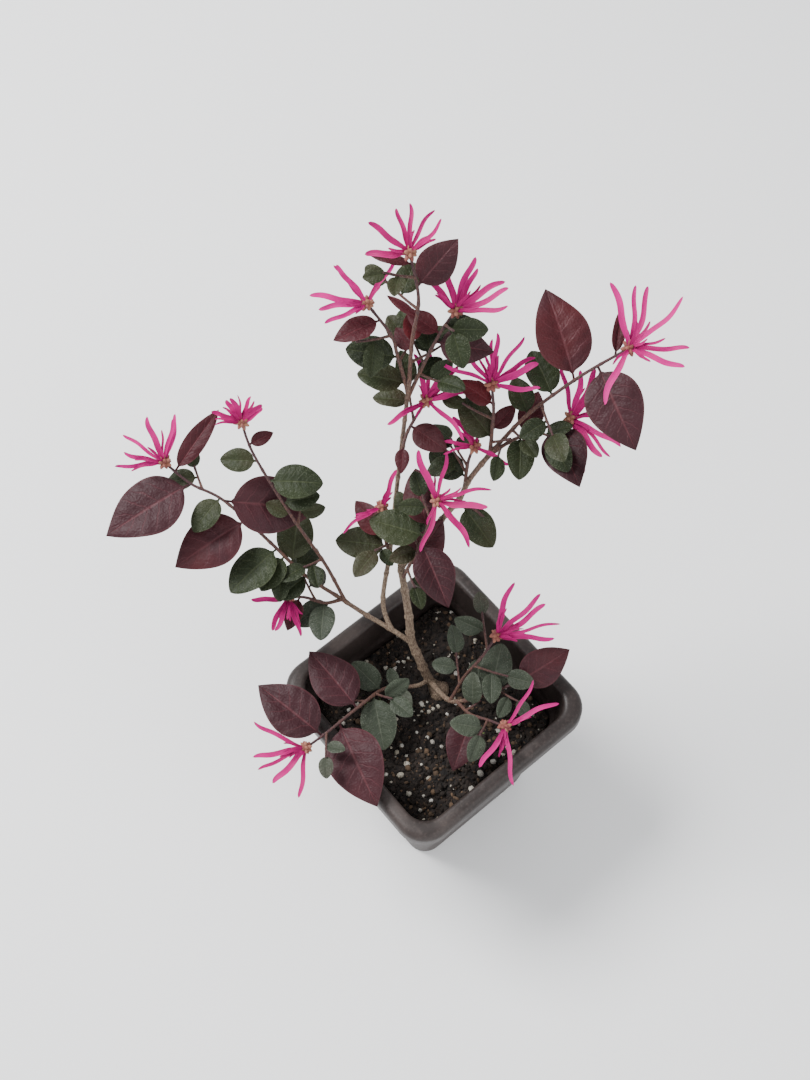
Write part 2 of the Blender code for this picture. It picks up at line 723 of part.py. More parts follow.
def build():
    """Make every node of the part: limbs first, then what finds room among them, largest leaves first."""
    for old in list(bpy.data.objects):
        bpy.data.objects.remove(old)
    chance = random.Random(SEED)
    pot = make_pot(material("pot plastic", COLOURS["pot"], 0.55))
    soil = make_soil(material("peat soil", COLOURS["soil"], 0.95))
    garden = Garden()
    for standing in (pot, soil):
        points = [v.co / MM for v in standing.data.vertices]
        garden.add(standing.name, "limb", (points, [tuple(f.vertices) for f in standing.data.polygons]))

    bark = COLOURS["bark"]
    path = smooth_path([laid(*spot) for spot in (TRUNK_FOOT, *TRUNK_GUIDE)])
    radii = (TRUNK_THICK[0] / 2, TRUNK_THICK[1] / 2)
    trunk = level_foot(tube(path, radii, LIMB_SIDES, 0, TRUNK_RING_STEP, root_lobes), LIMB_SIDES)
    garden.add("trunk", "limb", trunk)
    garden.paths["trunk"] = path
    mesh_object("trunk", trunk, material("trunk bark", bark, 0.8))
    for name, bough in BOUGHS.items():
        shape = grow_stem(garden, name, "limb", bough["stem"], bough["thick"], LIMB_SIDES)
        mesh_object(name, shape, material(name + " bark", bark, 0.8))

    pieces = {}
    for name, spray in SPRAYS.items():
        pieces[name] = [grow_stem(garden, name, "twig", spray["stem"], SPRAY_THICK, TWIG_SIDES)]
    for name, spray in SPRAYS.items():
        if spray["blossom"]:
            pieces[name] += grow_blossom(garden, name, spray["blossom"], chance)
    for name, spray in SPRAYS.items():
        for row in sorted(spray["leaves"], key=lambda row: -row[2]):
            pieces[name] += grow_leaf(garden, name, garden.paths[name], row, STRAY_LISTED, chance)
    for name, spray in SPRAYS.items():
        pieces[name] += grow_twigs(garden, name, spray["twigs"], chance)
    for name, shapes in pieces.items():
        kinds = [row[3] for row in SPRAYS[name]["leaves"]]
        tone = "plum" if kinds.count("plum") + kinds.count("wine") >= kinds.count("green") else "green"
        fuse(name, shapes, material(name + " leaf", COLOURS[tone], 0.6))


build()
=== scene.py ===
# %% [markdown]
# # A young Chinese fringe flower in its nursery pot
# A rooted cutting of Loropetalum chinense stands in a square plastic pot of peat. It has one thin trunk,
# five boughs and eighteen sprays of leaves and strap-petalled blossom. Each piece below is grown by rule
# from named sizes, so the reader can see why every leaf lies where it does.

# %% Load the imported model
import math
import random

import bmesh
import bpy
from mathutils import Matrix, Vector, noise
from mathutils.bvhtree import BVHTree


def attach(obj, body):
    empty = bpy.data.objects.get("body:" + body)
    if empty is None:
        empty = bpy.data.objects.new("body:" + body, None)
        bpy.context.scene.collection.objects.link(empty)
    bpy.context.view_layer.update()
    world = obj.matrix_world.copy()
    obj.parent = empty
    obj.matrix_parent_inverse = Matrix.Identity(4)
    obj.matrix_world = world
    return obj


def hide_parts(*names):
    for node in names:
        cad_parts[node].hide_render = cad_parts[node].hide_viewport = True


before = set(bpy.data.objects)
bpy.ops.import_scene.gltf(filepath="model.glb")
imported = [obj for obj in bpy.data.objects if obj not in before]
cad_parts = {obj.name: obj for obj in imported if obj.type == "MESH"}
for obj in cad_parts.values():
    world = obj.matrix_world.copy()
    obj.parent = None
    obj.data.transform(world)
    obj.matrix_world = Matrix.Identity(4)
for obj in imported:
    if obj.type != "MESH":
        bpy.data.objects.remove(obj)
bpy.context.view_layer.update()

BODY = "root"

# The plant's plan is in millimetres and the meshes are in metres
MM = 0.001

# The seed of every random draw: each kind of piece adds its own number to it
SEED = 11

# %% [markdown]
# ## Where the viewer stands
# The plant is laid out in directions of its own: right, away and up, seen from the pot's front corner.
# The camera looks down on it at 63 degrees. Its place is known in the same directions, so one function
# turns both the camera and the plant into the frame.

# %% Camera
PLANT_TURN = math.radians(50)
CAMERA_AT = (-11.4, -213.9, 638.2)
CAMERA_DOWN = math.radians(63)
LENS = 50
NEAREST_SEEN = 0.01


def laid(right, away, up):
    """A place or direction of the plant's own as one of the frame."""
    return Matrix.Rotation(PLANT_TURN, 3, "Z") @ Vector((right, away, up))


def make_camera():
    """The camera at the photographed angle."""
    data = bpy.data.cameras.new("camera")
    data.lens = LENS
    data.clip_start = NEAREST_SEEN
    camera = bpy.data.objects.new("camera", data)
    bpy.context.scene.collection.objects.link(camera)
    ahead = laid(0, math.cos(CAMERA_DOWN), -math.sin(CAMERA_DOWN))
    right = laid(1, 0, 0)
    pose = Matrix((right, right.cross(ahead), -ahead)).transposed().to_4x4()
    pose.translation = laid(*CAMERA_AT) * MM
    camera.matrix_world = pose
    bpy.context.scene.camera = camera


make_camera()
print("camera at", [round(v, 3) for v in bpy.context.scene.camera.matrix_world.translation])

# %% [markdown]
# ## Light
# A plant like this is shown under a soft white sky. A broad lamp high on the left gives the leaves their
# slant of light, a weaker one fills the shade, and a third near the floor lights the front of the pot.

# %% Studio
# Each lamp: its name, its place to the right, away and up, its width, both in metres, and its watts
LAMPS = (
    ("key lamp", (-0.75, 0.35, 1.15), 0.6, 30),
    ("fill lamp", (0.8, -0.7, 0.9), 1.2, 7),
    ("low lamp", (0.2, -1.2, 0.35), 0.8, 3),
)
LAMPS_FACE = (0, 0.03, 0.15)
SKY = (0.95, 0.97, 1.0, 1)
SKY_STRENGTH = 0.85


def make_studio():
    """A white sky and three soft lamps that face the plant."""
    world = bpy.data.worlds.new("white sky")
    world.use_nodes = True
    background = world.node_tree.nodes["Background"]
    background.inputs["Color"].default_value = SKY
    background.inputs["Strength"].default_value = SKY_STRENGTH
    bpy.context.scene.world = world
    for name, place, size, power in LAMPS:
        data = bpy.data.lights.new(name, "AREA")
        data.shape = "DISK"
        data.size = size
        data.energy = power
        lamp = bpy.data.objects.new(name, data)
        lamp.location = laid(*place)
        lamp.rotation_euler = (laid(*LAMPS_FACE) - lamp.location).to_track_quat("-Z", "Y").to_euler()
        bpy.context.scene.collection.objects.link(lamp)


make_studio()
print("lamps:", [row[0] for row in LAMPS])

# %% [markdown]
# ## Sums made of nodes
# Materials and growing rules are both node trees, and most of what they do is arithmetic. Wire wraps one
# socket so that a sum can be written as in Python: every sign in it adds the Math node that does it.

# %% Wires and nodes
class Wire:
    """A socket of a tree that can stand in a sum."""

    def __init__(self, nodes, socket):
        self.nodes = nodes
        self.socket = socket

    def math(self, operation, first, second=0.0):
        return self.nodes.add("ShaderNodeMath", {"operation": operation}, {0: first, 1: second})

    def __add__(self, other):
        return self.math("ADD", self, other)

    def __sub__(self, other):
        return self.math("SUBTRACT", self, other)

    def __rsub__(self, other):
        return self.math("SUBTRACT", other, self)

    def __mul__(self, other):
        return self.math("MULTIPLY", self, other)

    def __truediv__(self, other):
        return self.math("DIVIDE", self, other)

    def __rtruediv__(self, other):
        return self.math("DIVIDE", other, self)

    def __pow__(self, other):
        return self.math("POWER", self, other)

    __radd__ = __add__
    __rmul__ = __mul__

    def sin(self):
        return self.math("SINE", self)

    def cos(self):
        return self.math("COSINE", self)

    def size(self):
        return self.math("ABSOLUTE", self)

    def at_least(self, other):
        return self.math("MAXIMUM", self, other)

    def at_most(self, other):
        return self.math("MINIMUM", self, other)


class Nodes:
    """A tree to add nodes to, for a material or for Geometry Nodes."""

    def __init__(self, tree):
        self.tree = tree

    def feed(self, socket, value):
        """Link a wire to a socket, or set the socket to a plain value."""
        if isinstance(value, Wire):
            self.tree.links.new(value.socket, socket)
        else:
            socket.default_value = value

    def add(self, kind, settings=None, sockets=None, out=0):
        """Add a node: its settings first, then what feeds its sockets. out names or numbers the result."""
        node = self.tree.nodes.new(kind)
        for name, value in (settings or {}).items():
            if name == "stops":
                for stop, (place, grey) in zip(node.color_ramp.elements, value):
                    stop.position = place
                    stop.color = (grey, grey, grey, 1)
            else:
                setattr(node, name, value)
        for name, value in (sockets or {}).items():
            self.feed(node.inputs[name], value)
        return Wire(self, node.outputs[out])

    def mix(self, share, low, high):
        """A colour between two others. A Mix node's colours have no names of their own, only numbers."""
        return self.add("ShaderNodeMix", {"data_type": "RGBA"}, {0: share, 6: low, 7: high}, 2)

    def ramp(self, value, low, high):
        """0 below the low value, 1 above the high one, and smooth between them."""
        stops = ((low, 0), (high, 1))
        return self.add("ShaderNodeValToRGB", {"stops": stops}, {"Fac": value})

    def noise(self, scale, detail=3.0, place=None):
        """Soft noise on the piece's own coordinates, in bumps per metre."""
        where = place or self.add("ShaderNodeTexCoord", out="Object")
        return self.add("ShaderNodeTexNoise", {}, {"Vector": where, "Scale": scale, "Detail": detail})

    def spots(self, scale, place=None):
        """The distance from the middle of the nearest of many scattered spots."""
        where = place or self.add("ShaderNodeTexCoord", out="Object")
        return self.add("ShaderNodeTexVoronoi", {}, {"Vector": where, "Scale": scale})

    def value(self, name):
        """A number that each corner of the piece carries."""
        return self.add("ShaderNodeAttribute", {"attribute_name": name}, out="Fac")


print("signs that add nodes: + - * / **")

# %% [markdown]
# ## Finishes
# A finish starts as a Principled shader. Each recipe below says what the surface is made of: dust on
# moulded plastic, damp peat, thin bark, leaf with pressed veins, satin petal. Only what changes over a
# surface comes from nodes, and the rest is set on the shader itself.

# %% A finish and its bump
PLAIN_SHEEN = 0.5


def finish(name, recipe, bump=0.0, sheen=PLAIN_SHEEN):
    """A material. recipe(nodes) gives its colour, its height or None, and its roughness."""
    made = bpy.data.materials.new(name)
    made.use_nodes = True
    nodes = Nodes(made.node_tree)
    shader = made.node_tree.nodes["Principled BSDF"]
    colour, height, roughness = recipe(nodes)
    nodes.feed(shader.inputs["Base Color"], colour)
    nodes.feed(shader.inputs["Roughness"], roughness)
    nodes.feed(shader.inputs["Specular IOR Level"], sheen)
    if height:
        relief = nodes.add("ShaderNodeBump", {}, {"Strength": 1.0, "Distance": bump, "Height": height})
        nodes.feed(shader.inputs["Normal"], relief)
    return made


def tone(red, green, blue):
    """A plain colour in linear light."""
    return (red, green, blue, 1.0)


print("a plain colour:", tone(0.5, 0.5, 0.5))

# %% Pot
PLASTIC, DUST = tone(0.021, 0.0150, 0.0135), tone(0.090, 0.068, 0.061)
DUST_EVERYWHERE, DUST_ON_TOP = 0.28, 0.5


def plastic_recipe(nodes):
    """Dark brown plastic, dusty where a surface faces up and in soft smears elsewhere."""
    normal = nodes.add("ShaderNodeNewGeometry", out="Normal")
    up = nodes.add("ShaderNodeSeparateXYZ", {}, {"Vector": normal}, "Z").at_least(0)
    smears = nodes.ramp(nodes.noise(38, 5), 0.42, 0.72)
    grit = nodes.ramp(nodes.noise(900, 4), 0.5, 0.72)
    dust = (up * DUST_ON_TOP + DUST_EVERYWHERE) * smears + grit * 0.25
    height = nodes.noise(1400, 2) * 0.5 + nodes.noise(90, 2)
    return nodes.mix(dust.at_most(1.0), PLASTIC, DUST), height, dust * 0.35 + 0.42


POT_FINISH = finish("dusty brown plastic", plastic_recipe, 0.12 * MM, 0.35)
print("finish:", POT_FINISH.name)

# %% Peat, perlite and moss
PEAT, FIBRE = tone(0.0045, 0.003, 0.0025), tone(0.032, 0.020, 0.014)
CRUMB_BLACK, CRUMB_BROWN = tone(0.004, 0.003, 0.002), tone(0.026, 0.016, 0.011)
CRUMB_TAN = tone(0.115, 0.070, 0.040)
PERLITE_DULL, PERLITE_WHITE = tone(0.42, 0.38, 0.30), tone(0.62, 0.60, 0.55)
PEAT_STAIN = tone(0.12, 0.085, 0.055)
MOSS_DARK, MOSS_BRIGHT = tone(0.030, 0.050, 0.012), tone(0.085, 0.120, 0.030)


def peat_recipe(nodes):
    """Damp peat, black with brown fibres."""
    clods = nodes.noise(420, 6)
    return nodes.mix(nodes.ramp(clods, 0.42, 0.75), PEAT, FIBRE), clods, 0.93


def crumb_recipe(nodes):
    """Crumbs from black peat to tan fibre, each of one shade."""
    dark = nodes.mix(nodes.noise(1600), CRUMB_BLACK, CRUMB_BROWN)
    tan = nodes.ramp(nodes.value("shade"), 0.78, 1.0)
    return nodes.mix(tan, dark, CRUMB_TAN), nodes.noise(2600), 0.9


def perlite_recipe(nodes):
    """Pale foamed grains, a little stained by the peat."""
    stain = nodes.ramp(nodes.noise(900), 0.45, 0.75)
    pale = nodes.mix(nodes.value("shade"), PERLITE_DULL, PERLITE_WHITE)
    return nodes.mix(stain * 0.6, pale, PEAT_STAIN), nodes.spots(2600), 0.85


def moss_recipe(nodes):
    """Small bright moss."""
    return nodes.mix(nodes.value("shade"), MOSS_DARK, MOSS_BRIGHT), None, 0.8


PEAT_FINISH = finish("damp peat", peat_recipe, 0.8 * MM)
CRUMB_FINISH = finish("peat crumb", crumb_recipe, 0.3 * MM)
PERLITE_FINISH = finish("perlite", perlite_recipe, 0.3 * MM)
MOSS_FINISH = finish("moss", moss_recipe)
print("finishes:", PEAT_FINISH.name, CRUMB_FINISH.name, PERLITE_FINISH.name, MOSS_FINISH.name)

# %% Bark
OLD_BARK = tone(0.105, 0.066, 0.042), tone(0.290, 0.215, 0.150)
YOUNG_BARK = tone(0.065, 0.026, 0.024), tone(0.150, 0.070, 0.042)
TIP_BARK = tone(0.030, 0.010, 0.016), tone(0.085, 0.030, 0.036)
SPECK = tone(0.36, 0.29, 0.22)
STREAK_STRETCH = (1, 1, 0.25)


def bark_recipe(nodes):
    """Tan-grey bark with pale specks, orange-brown and then dark purple where the wood is young."""
    age = nodes.value("age")
    place = nodes.add("ShaderNodeTexCoord", out="Object")
    drawn_out = nodes.add("ShaderNodeMapping", {}, {"Vector": place, "Scale": STREAK_STRETCH})
    streaks = nodes.ramp(nodes.noise(1900, 5, drawn_out), 0.38, 0.70)
    tip, young, old = (nodes.mix(streaks, *pair) for pair in (TIP_BARK, YOUNG_BARK, OLD_BARK))
    woody = nodes.mix(nodes.ramp(age, 0.42, 0.66), young, old)
    colour = nodes.mix(nodes.ramp(age, 0.05, 0.34), tip, woody)
    specks = nodes.ramp(nodes.spots(1500), 0.10, 0.22)
    pale = (1 - specks) * nodes.ramp(age, 0.1, 0.3)
    return nodes.mix(pale * 0.55, colour, SPECK), streaks - specks * 0.4, 0.74


BARK_FINISH = finish("young bark", bark_recipe, 0.25 * MM)
print("finish:", BARK_FINISH.name)

# %% Leaf
# The veins: the stalk's share of the leaf, the pairs of side veins, and how they slant and wander
PETIOLE = 0.09
VEIN_PAIRS = 6.0
VEIN_SLANT = 0.24
VEIN_WANDER = 0.09
LEAF_BUMP, LEAF_SHEEN = 0.16 * MM, 0.22

# Each leaf: its dark and light tones, its veins, its freckles, its flush and how freckled it is
LEAF_TONES = {
    "plum leaf": (
        tone(0.022, 0.0042, 0.0066), tone(0.050, 0.0135, 0.0185), tone(0.105, 0.030, 0.036),
        tone(0.13, 0.07, 0.08), tone(0.060, 0.007, 0.009), 0.25,
    ),
    "wine leaf": (
        tone(0.032, 0.0030, 0.0060), tone(0.070, 0.010, 0.015), tone(0.130, 0.030, 0.038),
        tone(0.15, 0.07, 0.08), tone(0.090, 0.006, 0.009), 0.2,
    ),
    "green leaf": (
        tone(0.0080, 0.0125, 0.0042), tone(0.027, 0.037, 0.0125), tone(0.055, 0.065, 0.030),
        tone(0.15, 0.165, 0.105), tone(0.030, 0.020, 0.009), 0.8,
    ),
    "grey-green leaf": (
        tone(0.021, 0.028, 0.017), tone(0.055, 0.067, 0.045), tone(0.090, 0.100, 0.072),
        tone(0.19, 0.20, 0.155), tone(0.045, 0.030, 0.026), 0.8,
    ),
}


def vein_lines(nodes, across, along):
    """1 on the midrib and less on the side veins, which slant away from it and fade near the edge."""
    midrib = 1 - nodes.ramp(across, 0.015, 0.075)
    blade = ((along - PETIOLE) / (1 - PETIOLE)).at_least(0.0)
    wander = nodes.noise(220, 2) * VEIN_WANDER
    between = ((blade - across * VEIN_SLANT + wander) * VEIN_PAIRS * math.pi).sin().size()
    side_veins = (1 - nodes.ramp(between, 0.03, 0.24)) * (1 - nodes.ramp(across, 0.55, 0.95))
    return midrib.at_least(side_veins * 0.62)


def leaf_recipe(dark, light, vein, freckle, flush, freckled):
    """The recipe for a leaf with these tones."""

    def recipe(nodes):
        across, along, shade = nodes.value("across").size(), nodes.value("along"), nodes.value("shade")
        patches = nodes.ramp(nodes.noise(60, 4), 0.35, 0.68)
        blade = nodes.mix(patches * 0.5 + shade * 0.5, dark, light)
        blade = nodes.mix(nodes.ramp(shade, 0.55, 1.0) * patches, blade, flush)
        veins = vein_lines(nodes, across, along)
        freckles = 1 - nodes.ramp(nodes.spots(2300), 0.12, 0.30)
        dense = nodes.ramp(across * 0.7 + nodes.noise(160) * 0.6, 0.35, 0.8)
        colour = nodes.mix(freckles * dense * freckled, blade, freckle)
        edge = nodes.ramp(across, 0.90, 1.0) * 0.4
        colour = nodes.mix((veins * 0.55).at_least(edge), colour, vein)
        height = nodes.noise(2600, 3) * 0.6 + nodes.spots(1100) * 0.9 - veins * 0.8
        return colour, height, 0.40 + nodes.noise(500) * 0.28

    return recipe


LEAF_FINISHES = {
    name: finish(name, leaf_recipe(*tones), LEAF_BUMP, LEAF_SHEEN) for name, tones in LEAF_TONES.items()
}
print("leaf finishes:", list(LEAF_FINISHES))

# %% Petal and calyx
PETAL_DEEP, PETAL_PALE = tone(0.34, 0.0002, 0.095), tone(0.66, 0.008, 0.250)
PETAL_EDGE, PETAL_LINE = tone(0.72, 0.070, 0.34), tone(0.24, 0.001, 0.08)
PETAL_LINES = 19
CALYX_BROWN, CALYX_TAN = tone(0.20, 0.052, 0.042), tone(0.30, 0.130, 0.080)
CALYX_PURPLE = tone(0.22, 0.05, 0.09)


def petal_recipe(nodes):
    """Satin pink straps, deep at the root and paler towards the tip, with fine length lines."""
    across, along, shade = nodes.value("across").size(), nodes.value("along"), nodes.value("shade")
    paler = (along * 0.35 + shade * 0.75 - 0.15).at_least(0).at_most(1)
    colour = nodes.mix(paler, PETAL_DEEP, PETAL_PALE)
    colour = nodes.mix(nodes.ramp(across, 0.7, 1.0) * 0.3, colour, PETAL_EDGE)
    lines = (across * PETAL_LINES).sin() * 0.5 + 0.5
    return nodes.mix(lines * 0.15, colour, PETAL_LINE), lines, 0.5


def calyx_recipe(nodes):
    """Calyx scales, orange-tan with a purple cast and a bloom of fine hair."""
    warm = nodes.mix(nodes.value("shade"), CALYX_BROWN, CALYX_TAN)
    cast = nodes.ramp(nodes.noise(900), 0.5, 0.75) * 0.6
    return nodes.mix(cast, warm, CALYX_PURPLE), nodes.noise(4000), 0.8


PETAL_FINISH = finish("pink petal", petal_recipe, 0.06 * MM, LEAF_SHEEN)
CALYX_FINISH = finish("calyx", calyx_recipe, 0.1 * MM)
print("finishes:", PETAL_FINISH.name, CALYX_FINISH.name)

# %% [markdown]
# ## The plan of the plant
# Every limb starts on a carrier and follows a few guide points: to the right, away and up, in millimetres.
# A spray adds its leaves, as place along the stem, heading, length and kind, and its blossom, as petal
# length and angles. The low and shaded leaves are old, round and grey-green, and the plum ones are this
# year's.

# %% Leaves and blossom of the plan
# Leaves: width as a share of length, fold at the midrib in degrees, outline as (place, half width)
LEAF_KINDS = {
    "plum": (0.62, 14, ((0.10, 0.30), (0.25, 0.86), (0.48, 1.0), (0.74, 0.66), (0.92, 0.20))),
    "wine": (0.56, 18, ((0.10, 0.34), (0.30, 0.95), (0.60, 0.90), (0.88, 0.32))),
    "green": (0.66, 15, ((0.10, 0.36), (0.35, 1.0), (0.72, 0.74))),
    "slim": (0.30, 24, ((0.12, 0.40), (0.50, 1.0), (0.85, 0.42))),
    "small": (0.66, 17, ((0.16, 0.60), (0.52, 1.0))),
}
LEAF_THICK = 0.46
PETIOLE_HALF = 0.45
LEAF_POINT = 0.22

# Leaves droop by so many degrees about this place, face the light and rise more towards the back
LEAF_DROOP = (8, 26)
DROOP_ABOUT = 0.3
LIGHT = Vector((0, -0.34, 0.94))
RISE_LEVEL = 4
RISE_FACING = 16
ROOT_SUNK = 1.5

# How far a leaf's rise and roll stray from the rule, in degrees
STRAY_LISTED = (8, 17)
STRAY_SMALL = (26, 34)

# The tilts and swings that a leaf tries, in degrees, until it finds room
LEAF_RETRIES = ((0, 0), (9, 0), (-9, 0), (18, 6), (-18, -6), (27, -10), (-27, 10))

# Blossom: strap petals from a knot of calyxes, fanned in a plane that faces the light
PETAL_WIDE = 1.9
PETAL_THICK = 0.5
PETAL_SPANS = ((0.0, 0.45), (0.36, 0.85), (0.72, 1.0), (1.0, 0.8))
PETAL_SHARE = (0.85, 1.1)
PETAL_LIFT = (8, 26)
PETAL_RETRIES = (36, -6, 54)
PETAL_CURL = (-26, 10)
KNOT_RADIUS = 2.1
FAN_UP = Vector((0, 0.87, 0.49))
FAN_OUT = Vector((0, -0.49, 0.87))
print("kinds of leaf:", list(LEAF_KINDS))

# %% Trunk and boughs of the plan
GAP = 0.3
SOIL_UP = 66.0
TRUNK_FOOT = (2, 9, SOIL_UP + GAP)
TRUNK_GUIDE = ((-2, 12, 72), (-6, 16, 84), (-9, 20, 93), (-10, 24, 108), (-13, 35, 127))
TRUNK_THICK = (4.0, 2.6)
FLARE_UP = 5.0

# Each bough: its stem, as what carries it, how far along that it starts and its guide points, and its
# thickness at both ends
BOUGHS = {
    "bough_right": dict(
        stem=("trunk", 1.0, ((-3, 43, 138), (8, 49, 154), (12, 51, 167), (20, 55, 181))),
        thick=(2.5, 1.9),
    ),
    "bough_left": dict(
        stem=("trunk", 0.42, ((-14, 21, 96), (-19, 23, 99), (-28, 27, 103), (-38, 31, 110))),
        thick=(2.1, 1.6),
    ),
    "bough_back": dict(
        stem=("bough_left", 0.30, ((-20, 30, 107), (-17, 41, 130), (-14, 57, 157), (-10, 66, 207))),
        thick=(1.9, 1.5),
    ),
    "bough_low_left": dict(
        stem=("trunk", 0.10, ((-6, 8, 74), (-12, 6, 77))),
        thick=(1.8, 1.5),
    ),
    "bough_low_right": dict(
        stem=("trunk", 0.08, ((3, 4, 75), (7, 0, 77), (12, -1, 80))),
        thick=(2.4, 1.7),
    ),
}

print("boughs:", list(BOUGHS))

